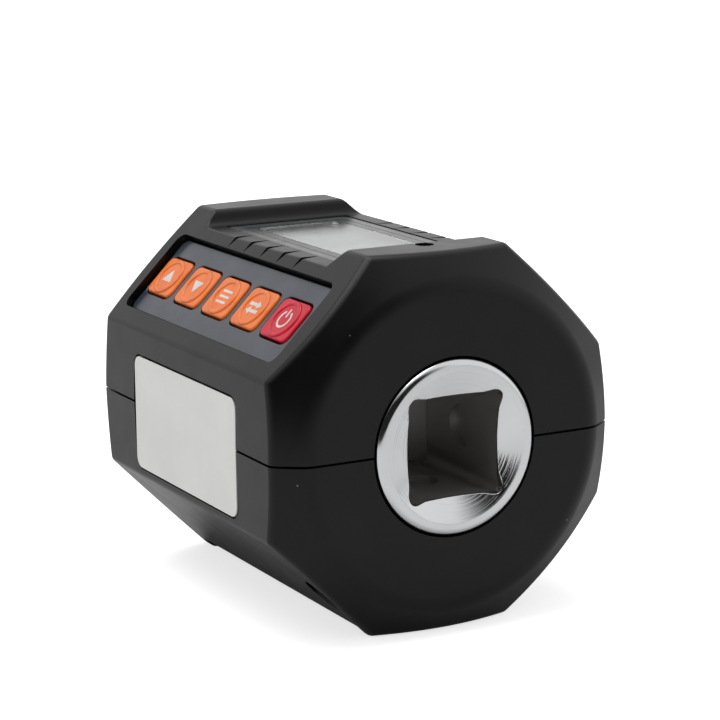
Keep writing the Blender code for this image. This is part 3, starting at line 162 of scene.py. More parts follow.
# Pale plate on the left face
LABEL_FRONT = 8.4 * MM
LABEL_TO_REAR = 9.8 * MM
LABEL_HEIGHT = 15.25 * MM
LABEL_Z = -1.225 * MM
LABEL_CORNER = 1.5 * MM
LABEL_THICKNESS = 0.15 * MM
LABEL_SINK = 0.09 * MM

# Shaft
SOCKET_SQUARE = 12.9 * MM
SOCKET_DEPTH = 19.0 * MM
SOCKET_LEAD_RADIUS = 9.65 * MM
SOCKET_LEAD_DEPTH = 1.2 * MM
SOCKET_DIMPLE_IN = 10.2 * MM  # from the socket's mouth
SOCKET_DIMPLE_RADIUS = 2.75 * MM
SOCKET_DIMPLE_DEPTH = 0.8 * MM
HEAD_RADIUS = 11.0 * MM
HEAD_PROUD = 0.55 * MM
HEAD_EDGE = 0.8 * MM
HEAD_FLOOR = 3.6 * MM  # of solid head behind the socket
HEAD_SWEEP = 3.0 * MM  # length of the curve from the head down to the waist
WAIST_RADIUS = 7.5 * MM
WAIST_FLAT = 6.8 * MM
TAIL_RADIUS = 10.0 * MM
TAIL_LENGTH = 14.0 * MM  # inside the plane of the case's rear corners
TAIL_SWEEP = 2.5 * MM
TAIL_PROUD = 2.1 * MM
DRIVE_SQUARE = 12.7 * MM
DRIVE_CORNER = 1.0 * MM
DRIVE_LENGTH = 15.5 * MM
DRIVE_CHAMFER = 0.9 * MM
KEY_SLOT_IN = 3.0 * MM  # from the front of the tail
KEY_SLOT_WIDTH = 3.0 * MM
KEY_SLOT_FLAT = 8.6 * MM
GAUGE_LENGTH = 6.0 * MM

# Detent ball and spring in the upper flat of the male square
BALL_RADIUS = 1.7 * MM
BALL_PROUD = 0.8 * MM
BALL_HOLE_RADIUS = 2.0 * MM
BALL_MOUTH_RADIUS = 1.65 * MM
BALL_MOUTH_DEPTH = 0.5 * MM
BALL_HOLE_DEPTH = 8.2 * MM
SPRING_WIRE = 0.25 * MM  # radius of the wire
SPRING_RADIUS = 1.2 * MM
SPRING_TURNS = 4

# Saddles that hold the shaft in the case
FRONT_SADDLE_Y = 9.5 * MM
SADDLE_THICKNESS = 2.4 * MM
SADDLE_HEIGHT = 7.0 * MM
ROOTED = 1.0 * MM  # how far a rib or boss grows into the wall that carries it
SHALLOW_ROOT = 0.5 * MM  # the same where that wall is thin

# Cells and their contacts. A cell is as long as the case lets it be
CELL_RADIUS = 5.25 * MM
CELL_NUB = 1.2 * MM
CELL_NUB_RADIUS = 1.9 * MM
CELL_EDGE = 0.5 * MM
CELL_APART = 0.5 * MM  # between the two cells
CELL_TO_SHAFT = 0.67 * MM
CELL_TO_DOOR = 0.85 * MM
LINK_Y = 0.4 * MM
BAY_TO_REAR = 0.9 * MM  # from the rear contacts to the plane of the case's rear corners
CONTACT_THICKNESS = 0.4 * MM
CONTACT_GAP = 0.3 * MM
CELL_SPRING_LENGTH = 1.5 * MM

# Battery door in the bottom, hinged on two tongues at its front edge
DOOR_FRONT = 1.5 * MM
DOOR_TO_REAR = 3.1 * MM
DOOR_MARGIN = 0.15 * MM  # by which the door is wider than the cells at each side
DOOR_SINK = 0.3 * MM
DOOR_THICKNESS = 1.8 * MM
DOOR_RIM = 0.5 * MM  # how far the door's long edges rise above its inside
DOOR_GAP = 0.3 * MM
TONGUE_WIDTH = 1.5 * MM
TONGUE_SPREAD = 3.3 * MM
TONGUE_REACH = 1.3 * MM
TONGUE_THICKNESS = 0.7 * MM
TONGUE_SETBACK = 0.1 * MM  # of its neck behind the door's front edge
NAIL_SLOT_LENGTH = 9.0 * MM
NAIL_SLOT_WIDTH = 1.8 * MM
NAIL_SLOT_DEPTH = 0.7 * MM
BAY_RIB = 1.2 * MM
BAY_RIB_OVER = 4.0 * MM  # rise of the ribs above the cells' axes

# Two screws up through the lower half, near the front
SCREW_TO_SIDE = 8.64 * MM  # from the case's side at the parting line
SCREW_Y = 2.0 * MM
SCREW_SHANK_RADIUS = 1.1 * MM
SCREW_HEAD_Z = -9.0 * MM
SCREW_TIP_Z = 5.0 * MM
SCREW_POCKET_RADIUS = 2.2 * MM
SCREW_BOSS_RADIUS = 3.3 * MM
SCREW_BOSS_TOP = 6.6 * MM
TAB_TO_SIDE = 9.24 * MM
TAB_WIDTH = 4.0 * MM
TAB_DEPTH = 3.0 * MM
TAB_THICKNESS = 1.4 * MM

# What only the looks have
CORNER_ROUND = 0.75 * MM  # where the case's sides meet its turned ends
EDGE_ROUND = 0.25 * MM
PANE_GAP = 0.12 * MM  # round the window
GILL_CUT = 0.3 * MM  # depth of a gill at the ledge's edge
GILL_RUN = 1.1 * MM  # and its length along the axis there
CAP_CORNER = 1.05 * MM
FLANGE_RADIUS = 11.24 * MM  # of the head's front, where it shows
FLANGE_BACK = -1.5 * MM
HEAD_ROUND = 0.95 * MM
HEAD_GAP = 0.24 * MM  # round the flange in the case
RELIEF_RADIUS = 1.05 * MM  # at the square's corners, which bulge to clear those of a drive
RELIEF_OUT = 0.25 * MM  # how far they reach past its sides
RELIEF_EASE = 1.7 * MM  # length of the curve from a side out to them
GILL_FALL = 1.2 * MM  # how far past the ledge's edge a gill fades out on the bevel
MOUTH_ROUND = 0.1 * MM  # edges of the socket's mouth
SHEET_ROUND = 0.15 * MM
SHEET_SINK = 0.95 * MM  # from the bevel down to the keypad's sheet
RING_RADIUS = 2.8 * MM
RING_WIDTH = 0.65 * MM
RING_HEIGHT = 0.2 * MM
DISH = 0.04 * MM  # height of the dish inside the ring
BAR_ROUND = 2.01  # width of a printed bar over the radius of its corners
FRAME_MARGINS = (0.0, 1.45 * MM)  # from the window's edge to those of its glossy frames
VIEW_MARGINS = (1.55 * MM, 2.9 * MM)
PANE_MARGINS = (3.0 * MM,)  # and to that of its clear pane
JACKET_LAP = 0.9  # share of a cell's rounded edges that its jacket covers
PRINT_SINK = 0.02 * MM
PRINT_RISE = 0.02 * MM
TURNING_PITCH = 0.3 * MM  # about how far apart the turning lines are
TURNING_DEPTH = 0.045 * MM
TURNING_WOBBLE = 0.2 * MM
SPARK_DEPTH = 0.02 * MM  # of the fine texture of plastics and films
SPARK_SCALE = 5200.0  # per metre
DUST_SCALE = 420.0  # cells per metre, a few of which hold a speck of dust
DUST_SIZE = 0.045  # of a cell
DUST_FREE = 0.93  # share of the cells without a speck
SOCKET_MATT = 0.4  # roughness added inside the square
SKIM = 0.01 * MM  # keeps apart two faces that would lie in one plane
SHY_OF_SEAM = 0.2 * MM  # where ribs and bosses end, short of the parting plane

# Which edges are rounded, in millimetres
SEAM_EDGES = 0.2  # no nearer the parting line than this
BROW_EDGES = 2.2  # as far as this past the ledge's ends
BROW_SIDES = 9.0  # at least this far from its middle
BROW_DEPTH = 0.2  # and no further than this under it
TOP_EDGES = 0.01  # within this of a piece's top
EDGE_MARGIN = 0.1  # other tests for edges reach this far past a face, or stop short of it

# Studio
WORLD_LIGHT = 0.6
WORLD_MIRRORED = 0.94  # what glossy surfaces see of the world
DARK_MIRRORED = 0.015  # and of the dark part of it, in front
DARK_PARTS = (  # ways to their middles, and angles from there to where they start to end, and end
    ((-0.35, -0.9, 0.25), (32.0, 50.0)),
    ((-0.85, -0.45, 0.3), (24.0, 42.0)),
)
FLOOR_LIFT = 0.68
FLOOR_SIZE = 3.0
FLOOR_DROP = -0.00002
CAMERA_PLACE = (-0.15139, -0.29143, 0.0994)
CAMERA_ANGLES = (-28.413, 12.194, -0.486)
CAMERA_LENS = 123.69
CAMERA_SENSOR = 36.0
CAMERA_CLIP = 0.01
LAMP_PLACE = (-0.12, 0.12, 0.7)
LAMP_TARGET = (0.0, 0.0, 0.03)
LAMP_SIZE = 0.6
LAMP_POWER = 3.2
WHITE = (1.0, 1.0, 1.0, 1.0)

# Facets
END_STEPS = 160
ROUND_STEPS = 64
SMALL_STEPS = 32
ARC_STEPS = 8
WIRE_SIDES = 12
WELD = 0.001 * MM
FLAT_ANGLE = 0.05  # degrees: faces that turn less than this are one
SHARP_ANGLE = 28.0  # edges that turn more than this are rounded
MOUTH_ANGLE = 15.0  # the same at the front of the shaft
SMOOTH_ANGLE = 32.0  # edges that turn less than this are shaded smooth
KEY_SMOOTH_ANGLE = 50.0
QUARTER = [math.pi / 2 * i / ARC_STEPS for i in range(ARC_STEPS + 1)]  # turns up to a right angle
SIDES = (-1.0, 1.0)

# Worked out from the sizes above
CELL_SPREAD = 2 * CELL_RADIUS + CELL_APART
CELL_Z = -math.sqrt((HEAD_RADIUS + CELL_TO_SHAFT + CELL_RADIUS) ** 2 - (CELL_SPREAD / 2) ** 2)
DOOR_INNER = -CELL_Z + CELL_RADIUS + CELL_TO_DOOR
DOOR_OUTER = DOOR_INNER + DOOR_THICKNESS
HALF_HEIGHT = DOOR_OUTER + DOOR_SINK
CELL_FRONT = LINK_Y + CONTACT_THICKNESS + CONTACT_GAP
CELL_SPRING_ROOM = CELL_SPRING_LENGTH + CONTACT_GAP
CONTACT_Y = CASE_LENGTH - BAY_TO_REAR - CONTACT_THICKNESS
CELL_LENGTH = CONTACT_Y - CONTACT_GAP - CELL_SPRING_ROOM - CELL_FRONT
HALF_TOP = TOP_FLAT / 2
HALF_SIDE = SIDE_FLAT / 2
HALF_WIDTH = CASE_WIDTH / 2
CORNER_WIDTH = HALF_WIDTH - SIDE_DRAFT
HEAD_FRONT = -FRONT_FACE_OUT - HEAD_PROUD
SOCKET_FLOOR = HEAD_FRONT + SOCKET_DEPTH
SOCKET_DIMPLE_Y = HEAD_FRONT + SOCKET_DIMPLE_IN
HEAD_BACK = SOCKET_FLOOR + HEAD_FLOOR
WAIST_FRONT = HEAD_BACK + HEAD_SWEEP
TAIL_FRONT = CASE_LENGTH - TAIL_LENGTH
WAIST_BACK = TAIL_FRONT - TAIL_SWEEP
KEY_SLOT_FRONT = TAIL_FRONT + KEY_SLOT_IN
GAUGE_Y = (WAIST_FRONT + WAIST_BACK) / 2
TAIL_END = CASE_LENGTH + BACK_FACE_OUT + TAIL_PROUD
DRIVE_END = TAIL_END + DRIVE_LENGTH
FRONT_CORNERS_Y = -(HEAD_FRONT + DRIVE_END) / 2
BEVEL_TILT = math.atan2(HALF_HEIGHT - HALF_SIDE, CORNER_WIDTH - HALF_TOP)
LEDGE_BACK = CASE_LENGTH - LEDGE_TO_REAR
GILL_START = LEDGE_FRONT + GILL_FROM_FRONT
GILL_PITCH = (LEDGE_BACK - GILL_TO_BACK - GILL_START) / (GILL_COUNT - 1)
LEDGE_Z = HALF_HEIGHT - LEDGE_DEPTH
ROOF_Z = LEDGE_Z - LEDGE_WALL
WINDOW_START = LEDGE_FRONT + WINDOW_MARGIN
WINDOW_LENGTH = LEDGE_BACK - WINDOW_MARGIN - WINDOW_START
WINDOW_TOP = LEDGE_Z - WINDOW_SINK
WINDOW_FLOOR = WINDOW_TOP - WINDOW_THICKNESS - GAP
WINDOW_MIDDLE = WINDOW_START + WINDOW_LENGTH / 2
PANEL_TOP = ROOF_Z - GAP
STRIP_TOP = PANEL_TOP - PANEL_THICKNESS - GAP
BOARD_TOP = STRIP_TOP - STRIP_HEIGHT - GAP
BOARD_BOTTOM = BOARD_TOP - BOARD_THICKNESS
BOARD_BACK = CASE_LENGTH - BOARD_TO_REAR
POST_FRONT = BOARD_FRONT + POST_FROM_FRONT
POST_BACK = BOARD_BACK - POST_FROM_BACK
PAD_MIDDLE = PAD_TOP + PAD_HEIGHT / 2
PAD_LENGTH = CASE_LENGTH - 2 * PAD_MARGIN
KEY_PITCH = (PAD_LENGTH - KEY_ROW_FRONT - KEY_ROW_BACK + KEY_BRIDGE) / KEY_COUNT
KEY_LENGTH = KEY_PITCH - KEY_BRIDGE
KEY_FIRST_Y = PAD_MARGIN + KEY_ROW_FRONT + KEY_LENGTH / 2
OVERLAY_BOTTOM = OVERLAY_SINK + OVERLAY_THICKNESS
FLOOR_TOP = OVERLAY_BOTTOM + GAP
FLOOR_BOTTOM = FLOOR_TOP + PAD_FLOOR
WING_TOP = FLOOR_BOTTOM + GAP
WING_BOTTOM = WING_TOP + KEY_WING_THICKNESS
KEY_TOP = OVERLAY_SINK - KEY_PROUD
DOME_TOP = WING_BOTTOM + KEY_TRAVEL + DOME_GAP
KEY_BOARD_TOP = DOME_TOP + DOME_HEIGHT + GAP
LABEL_BACK = CASE_LENGTH - LABEL_TO_REAR
DOOR_BACK = CASE_LENGTH - DOOR_TO_REAR
DOOR_WIDTH = CELL_SPREAD + 2 * (CELL_RADIUS + DOOR_MARGIN)
BAY_RIB_TOP = CELL_Z + BAY_RIB_OVER
SCREW_X = HALF_WIDTH - SCREW_TO_SIDE
TAB_X = HALF_WIDTH - TAB_TO_SIDE
BALL_Y = TAIL_END + DRIVE_LENGTH / 2
BALL_Z = DRIVE_SQUARE / 2 + BALL_PROUD - BALL_RADIUS

HELPERS = []  # the hidden objects that shape others


def linked(name, data):
    """A new object in the scene."""
    made = bpy.data.objects.new(name, data)
    bpy.context.scene.collection.objects.link(made)
    return made


def empty(name, parent, location, tilt=0.0):
    """An empty that pieces are modelled in, turned about Y by tilt."""
    made = linked(name, None)
    made.parent = parent
    made.location = location
    made.rotation_euler = (0.0, tilt, 0.0)
    return made


def piece(name, shape, parent, finish, at=(0.0, 0.0, 0.0)):
    """An object from a bmesh, whose origin is moved to the point at of its frame."""
    bmesh.ops.recalc_face_normals(shape, faces=shape.faces)
    bmesh.ops.translate(shape, verts=shape.verts, vec=-Vector(at))
    mesh = bpy.data.meshes.new(name)
    shape.to_mesh(mesh)
    shape.free()
    if finish:
        mesh.materials.append(finish)
    made = linked(name, mesh)
    made.parent = parent
    made.location = at
    return made


def helper(shape, parent):
    """An object that only shapes others, and is removed at the end."""
    made = piece("helper", shape, parent, None)
    made.hide_render = True
    HELPERS.append(made)
    return made


def shaped(target, other, operation):
    """Applies a Boolean with another object, and welds the slivers that it leaves."""
    step = target.modifiers.new(operation, "BOOLEAN")
    step.object = other
    step.operation = operation
    step.solver = "EXACT"
    bpy.context.view_layer.update()
    result = bmesh.new()
    result.from_object(target, bpy.context.evaluated_depsgraph_get())
    bmesh.ops.remove_doubles(result, verts=result.verts, dist=WELD)
    bmesh.ops.dissolve_degenerate(result, dist=WELD, edges=result.edges)
    target.modifiers.clear()
    result.to_mesh(target.data)
    result.free()


def cut(target, shape, parent=None):
    """Cuts a piece with a shape, made in the frame parent or else in the piece's own."""
    shaped(target, helper(shape, parent or target.parent), "DIFFERENCE")


def joined(target, shape, parent=None):
    shaped(target, helper(shape, parent or target.parent), "UNION")


def lofted(sections):
    """A closed solid through rings of points, each ring a list of (x, y, z)."""
    shape = bmesh.new()
    rings = [[shape.verts.new(point) for point in section] for section in sections]
    for low, high in zip(rings, rings[1:]):
        for i, corner in enumerate(low):
            after = (i + 1) % len(low)
            shape.faces.new((corner, low[after], high[after], high[i]))
    shape.faces.new(rings[0][::-1])
    shape.faces.new(rings[-1])
    return shape


def along_x(outline, low, high):
    """An outline of (y, z) points extruded along X."""
    return lofted([[(x, y, z) for y, z in outline] for x in (low, high)])


def along_y(outline, low, high):
    """An outline of (x, z) points extruded along Y."""
    return lofted([[(x, y, z) for x, z in outline] for y in (low, high)])


def along_z(outline, low, high):
    """An outline of (x, y) points extruded along Z."""
    return lofted([[(x, y, z) for x, y in outline] for z in (low, high)])


def block(x, y, z):
    """A box from three (low, high) pairs."""
    return along_z([(x[0], y[0]), (x[1], y[0]), (x[1], y[1]), (x[0], y[1])], *z)


def together(shapes):
    """One bmesh with the bodies of several, which don't touch each other."""
    whole = bmesh.new()
    for shape in shapes:
        mesh = bpy.data.meshes.new("part of a whole")
        shape.to_mesh(mesh)
        shape.free()
        whole.from_mesh(mesh)
        bpy.data.meshes.remove(mesh)
    return whole


def turned(profile, steps, axis="Y", centre=(0.0, 0.0, 0.0)):
    """A solid of revolution from (radius, distance along the axis) points that start and end on it."""
    shape = bmesh.new()
    rings = []
    for radius, height in profile:
        count = 1 if radius == 0.0 else steps
        ring = []
        for i in range(count):
            turn = 2.0 * math.pi * i / steps
            across, up = radius * math.cos(turn), radius * math.sin(turn)
            point = {"X": (height, across, up), "Y": (across, height, up), "Z": (across, up, height)}
            ring.append(shape.verts.new(Vector(point[axis]) + Vector(centre)))
        rings.append(ring)
    for low, high in zip(rings, rings[1:]):
        for i in range(steps):
            after = (i + 1) % steps
            near = [low[i % len(low)], low[after % len(low)]]
            far = [high[after % len(high)], high[i % len(high)]]
            shape.faces.new(list(dict.fromkeys(near + far)))
    return shape


def stacked(heights, radii):
    """Profile of cylinders that stand on each other, with one height more than radii."""
    profile = [(0.0, heights[0])]
    for radius, low, high in zip(radii, heights, heights[1:]):
        profile += [(radius, low), (radius, high)]
    return [*profile, (0.0, heights[-1])]


def cylinder(radius, low, high, steps=ROUND_STEPS, axis="Y", centre=(0.0, 0.0, 0.0)):
    return turned(stacked((low, high), (radius,)), steps, axis, centre)


def edge_arc(radius, end, width, way):
    """Profile points of a rounded edge, at the front end of a turned piece (way 1) or its back (-1)."""
    points = [(radius - width * (1 - math.sin(t)), end + way * width * (1 - math.cos(t))) for t in QUARTER]
    return points[::way]


def at_screws(heights, radii):
    """The same cylinders round the axes of both screws."""
    profile = stacked(heights, radii)
    return together([turned(profile, SMALL_STEPS, "Z", (x, SCREW_Y, 0.0)) for x in (-SCREW_X, SCREW_X)])


def at_both_sides(inner, outer, y, z, middle=0.0):
    """Two boxes, at each side of x = middle, from the distance inner to outer."""
    boxes = []
    for side in SIDES:
        x = sorted((middle + side * inner, middle + side * outer))
        boxes.append(block(x, y, z))
    return boxes


def pair_along_x(outline, distance, width):
    """An outline of (y, z) points extruded along X, at a distance to each side of the middle."""
    return together([along_x(outline, x - width / 2, x + width / 2) for x in (-distance, distance)])


def whole_length(outline):
    """An outline of (x, z) points extruded along Y through the case and past its ends."""
    return along_y(outline, -END_REACH, CASE_LENGTH + END_REACH)


def rounded(points, radius, steps=ARC_STEPS, keep=()):
    """The outline with each corner made an arc, apart from those numbered in keep.

    The radius is one number, or one for each corner.
    """
    radii = radius if isinstance(radius, list) else [radius] * len(points)
    made = []
    for i, (point, radius) in enumerate(zip(points, radii)):
        here = Vector(point)
        before = Vector(points[i - 1]) - here
        after = Vector(points[(i + 1) % len(points)]) - here
        if i in keep:
            made.append(point)
            continue
        half = before.angle(after) / 2.0
        centre = here + (before.normalized() + after.normalized()).normalized() * radius / math.sin(half)
        start = here + before.normalized() * radius / math.tan(half) - centre
        end = here + after.normalized() * radius / math.tan(half) - centre
        sweep = start.angle_signed(end)
        for j in range(steps + 1):
            made.append(tuple(centre + Matrix.Rotation(-sweep * j / steps, 2) @ start))
    return made


def rounded_rectangle(centre, size, radius, steps=ARC_STEPS):
    x, y = centre
    w, h = size[0] / 2, size[1] / 2
    return rounded([(x - w, y - h), (x + w, y - h), (x + w, y + h), (x - w, y + h)], radius, steps)


def socket_section(y):
    """The female square, which bulges at its corners to clear those of a drive."""
    half = SOCKET_SQUARE / 2
    centre = half + RELIEF_OUT - RELIEF_RADIUS
    ease = []
    for i in range(ARC_STEPS):
        part = i / ARC_STEPS
        out = RELIEF_OUT * (1 - math.cos(math.pi * part)) / 2
        ease.append((half + out, centre - RELIEF_EASE * (1 - part)))
    corner = list(ease)
    for turn in QUARTER:
        corner.append((centre + RELIEF_RADIUS * math.cos(turn), centre + RELIEF_RADIUS * math.sin(turn)))
    corner += [(z, x) for x, z in reversed(ease)]
    points = []
    for quarter in range(4):
        for point in corner:
            x, z = Matrix.Rotation(quarter * math.pi / 2, 2) @ Vector(point)
            points.append((x, y, z))
    return points


def inset(points, distances):
    """A convex outline, listed anticlockwise, with each side moved in by its own distance."""
    lines = []
    for i, distance in enumerate(distances):
        start, end = Vector(points[i]), Vector(points[(i + 1) % len(points)])
        way = (end - start).normalized()
        lines.append((start + Vector((-way.y, way.x)) * distance, way))
    made = []
    for (start, way), (other, across) in zip([lines[-1], *lines], lines):
        run = (other - start).cross(across) / way.cross(across)
        made.append(tuple(start + way * run))
    return made


def half_octagon(sign, edge):
    """Corners of the upper (sign 1) or lower half of the case from the height edge, anticlockwise."""
    right = [(HALF_WIDTH, edge), (CORNER_WIDTH, HALF_SIDE), (HALF_TOP, HALF_HEIGHT)]
    left = [(-x, z) for x, z in reversed(right)]
    points = [(x, sign * z) for x, z in right + left]
    return points if sign > 0 else points[::-1]


def case_ends(wall):
    """Profile of the case's two turned ends, set in by wall."""
    corner = math.hypot(HALF_TOP, HALF_HEIGHT)
    profile = []
    for flat, radius, start, way in (
        (FRONT_FACE_OUT, FRONT_FACE_RADIUS, 0.0, 1.0),
        (BACK_FACE_OUT, BACK_FACE_RADIUS, CASE_LENGTH, -1.0),
    ):
        slope = flat / (corner - radius)
        slant = wall * math.hypot(1.0, slope)
        meets = corner - (flat - wall + slant) / slope
        reach = (END_REACH - corner) * slope + slant
        end = [(0.0, start - way * (flat - wall)), (meets, start - way * (flat - wall))]
        end.append((END_REACH, start + way * reach))
        profile += end if way > 0 else end[::-1]
    return rounded(profile, FACE_BLEND, ARC_STEPS, keep=(0, 2, 3, 5))


def gill_cutters():
    """Wedges that run across the ledge and down the bevel, and step down at their back."""
    edge = HALF_TOP + LEDGE_DEPTH
    shapes = []
    for side in SIDES:
        for i in range(GILL_COUNT):
            y = GILL_START + i * GILL_PITCH
            sections = []
            for x, down in ((GILL_INSET, GILL_FADE), (edge, GILL_CUT), (edge + GILL_FALL, GILL_FADE)):
                skin = LEDGE_Z - max(0.0, x - edge) * math.tan(BEVEL_TILT)
                ramp = GILL_RUN * (down + GILL_CUT) / GILL_CUT
                corners = ((y, skin + GILL_CUT), (y, skin - down), (y - ramp, skin + GILL_CUT))
                sections.append([(side * x, *corner) for corner in corners])
            shapes.append(lofted(sections))
    return together(shapes)


def ledge_cutter():
    """Everything above the ledge between the bridges, flared so that it rounds their top edges."""
    over = LEDGE_Z + 2 * LEDGE_DEPTH
    skim = HALF_HEIGHT + BROW_SKIM
    outline = [
        (LEDGE_FRONT - 3 * FRONT_BRIDGE_SLOPE, over),
        (LEDGE_FRONT - 3 * FRONT_BRIDGE_SLOPE, skim),
        (LEDGE_FRONT - FRONT_BRIDGE_SLOPE, skim),
        (LEDGE_FRONT, LEDGE_Z),
        (LEDGE_BACK, LEDGE_Z),
        (LEDGE_BACK + BACK_BRIDGE_SLOPE, skim),
        (LEDGE_BACK + 3 * BACK_BRIDGE_SLOPE, skim),
        (LEDGE_BACK + 3 * BACK_BRIDGE_SLOPE, over),
    ]
    radii = [0.0, 0.0, FRONT_BROW_ROUND, 0.0, LEDGE_FILLET, BACK_BROW_ROUND, 0.0, 0.0]
    outline = rounded(outline, radii, keep=(0, 1, 3, 6, 7))
    return along_x(outline, -HALF_WIDTH, HALF_WIDTH)


def key_y(index):
    return KEY_FIRST_Y + index * KEY_PITCH


def key_outline(index, margin=0.0):
    size = (KEY_HEIGHT + 2 * margin, KEY_LENGTH + 2 * margin)
    return rounded_rectangle((-PAD_MIDDLE, key_y(index)), size, CAP_CORNER + margin, 4)


def pad_outline(margin):
    size = (PAD_HEIGHT - 2 * margin, PAD_LENGTH - 2 * margin)
    return rounded_rectangle((-PAD_MIDDLE, CASE_LENGTH / 2), size, PAD_CORNER - margin)


def label_outline(margin):
    middle = ((LABEL_FRONT + LABEL_BACK) / 2, LABEL_Z)
    size = (LABEL_BACK - LABEL_FRONT - 2 * margin, LABEL_HEIGHT - 2 * margin)
    return rounded_rectangle(middle, size, LABEL_CORNER - margin)


def shared_helpers(case, pad):
    """Hidden shapes that both halves of the case, or the case and a piece in it, are cut with."""
    label_floor = -HALF_WIDTH + LABEL_SINK + LABEL_THICKNESS + GAP
    bore = FLANGE_RADIUS + HEAD_GAP
    tail = TAIL_RADIUS + BORE_GAP
    reach = END_REACH
    through = (CASE_LENGTH - WALL, CASE_LENGTH + reach)
    return {
        "ends": helper(turned(case_ends(0.0), END_STEPS), case),
        "hollow": helper(turned(case_ends(WALL), END_STEPS), case),
        "head": helper(cylinder(bore, -reach, HEAD_BACK, END_STEPS), case),
        "tail": helper(cylinder(tail, *through, END_STEPS), case),
        "label": helper(along_x(label_outline(-GAP), -reach, label_floor), case),
        "pad": helper(along_z(pad_outline(0.0), -FLOOR_TOP, reach), pad),
    }


def parting_solid(case, depth, low, high):
    """What lies deeper than depth under the case's skin between two heights near the parting line."""
    side = HALF_WIDTH - depth
    slab = block((-side, side), (-END_REACH, CASE_LENGTH + END_REACH), (low, high))
    solid = helper(slab, case)
    shaped(solid, helper(turned(case_ends(depth), END_STEPS), case), "INTERSECT")
    return solid


def parting_ring(case, outer, inner, low, high):
    """A ring along the case's walls at the parting line, between two depths under the skin."""
    ring = parting_solid(case, outer, low, high)
    shaped(ring, parting_solid(case, inner, low - ROOTED, high + ROOTED), "DIFFERENCE")
    return ring


def saddle_cheeks(sign):
    """Ribs at both sides of the shaft: two round its head, and two in the slots of its tail."""
    wall = CORNER_WIDTH - WALL + ROOTED
    z = sorted((sign * SHY_OF_SEAM, sign * SADDLE_HEIGHT))
    slot = KEY_SLOT_FRONT + KEY_SLOT_WIDTH / 2
    shapes = []
    for y, inner in ((FRONT_SADDLE_Y, SADDLE_HEIGHT), (slot, KEY_SLOT_FLAT + GAP)):
        shapes += at_both_sides(inner, wall, (y - SADDLE_THICKNESS / 2, y + SADDLE_THICKNESS / 2), z)
    return together(shapes)


def case_half(name, sign, depths, case, shared, finish):
    """Half of the octagon with its turned ends and rounded corners.

    The depths are those of its hollow under each face, from right to left, and at the parting plane.
    """
    outline = rounded(half_octagon(sign, PARTING_GAP / 2), EDGE_RADIUS, keep=(0, 5))
    half = piece(name, whole_length(outline), case, finish)
    shaped(half, shared["ends"], "INTERSECT")
    eased(half, CORNER_ROUND, 5, lambda x, y, z: abs(z) > SEAM_EDGES)
    hollow = helper(whole_length(inset(half_octagon(sign, -WALL), depths)), case)
    shaped(hollow, shared["hollow"], "INTERSECT")
    return half, hollow


def upper_housing(case, pad, shared, finish):
    depths = (WALL, WALL, HALF_HEIGHT - ROOF_Z, FLOOR_BOTTOM, WALL, 0.0)
    half, hollow = case_half("case_upper", 1.0, depths, case, shared, finish)
    cut(half, ledge_cutter())
    low, front, back = LEDGE_Z / MM - BROW_DEPTH, LEDGE_FRONT / MM - BROW_EDGES, LEDGE_BACK / MM + BROW_EDGES
    eased(half, EDGE_ROUND, 3, lambda x, y, z: z > low and front < y < back and abs(x) > BROW_SIDES)
    shaped(half, shared["pad"], "DIFFERENCE")
    shaped(half, hollow, "DIFFERENCE")
    windows = [along_z(key_outline(i, KEY_GAP), -FLOOR_BOTTOM - WALL, 0.0) for i in range(KEY_COUNT)]
    cut(half, together(windows), pad)
    for rail in key_rails():
        joined(half, rail, pad)
    for margin, foot in ((-PANE_GAP, WINDOW_FLOOR), (WINDOW_LIP - PANE_GAP, ROOF_Z - WALL)):
        side = WINDOW_WIDTH / 2 - margin
        ends = (WINDOW_START + margin, WINDOW_START + WINDOW_LENGTH - margin)
        cut(half, block((-side, side), ends, (foot, HALF_HEIGHT)))
    port = cylinder(PORT_RADIUS, ROOF_Z - WALL, END_REACH, SMALL_STEPS, "Z", (PORT_X, PORT_Y, 0.0))
    cut(half, port)
    for inner_part in (board_posts(), saddle_cheeks(1.0), upper_bosses(), rear_tabs()):
        joined(half, inner_part)
    groove = parting_ring(case, WALL - LIP_THICKNESS - GAP, WALL + GAP, -ROOTED, LIP_HEIGHT + GAP)
    shaped(half, groove, "DIFFERENCE")
    cut(half, at_screws((-WALL, SCREW_TIP_Z + GAP), (SCREW_SHANK_RADIUS + GAP,)))
    for tool in ("head", "tail", "label"):
        shaped(half, shared[tool], "DIFFERENCE")
    cut(half, gill_cutters())
    return finished(half)


def key_rails():
    """Two ribs behind the keypad's floor, which its board lies on."""
    span = (key_y(0) - KEY_LENGTH / 2, key_y(KEY_COUNT - 1) + KEY_LENGTH / 2)
    wing = KEY_HEIGHT / 2 + KEY_GAP + KEY_WING + GAP
    z = (-KEY_BOARD_TOP + GAP, -FLOOR_BOTTOM + PAD_FLOOR / 2)
    return at_both_sides(wing, wing + KEY_RAIL_WIDTH, span, z, -PAD_MIDDLE)


def board_posts():
    """Posts under the ledge with a peg on each, which goes through the main board."""
    heights = (BOARD_BOTTOM - PEG_REACH, BOARD_TOP + GAP, ROOF_Z + SHALLOW_ROOT)
    profile = stacked(heights, (PEG_RADIUS, POST_RADIUS))
    shapes = []
    for x in (-POST_SPREAD / 2, POST_SPREAD / 2):
        for y in (POST_FRONT, POST_BACK):
            shapes.append(turned(profile, SMALL_STEPS, "Z", (x, y, 0.0)))
    return together(shapes)


def upper_bosses():
    """Blocks on the front wall that take the screws."""
    reach = SCREW_SHANK_RADIUS + GAP + ROOTED
    y = (-FRONT_FACE_OUT + WALL - ROOTED, SCREW_Y + reach)
    return together(at_both_sides(SCREW_X - reach, SCREW_X + reach, y, (SHY_OF_SEAM, SCREW_BOSS_TOP)))


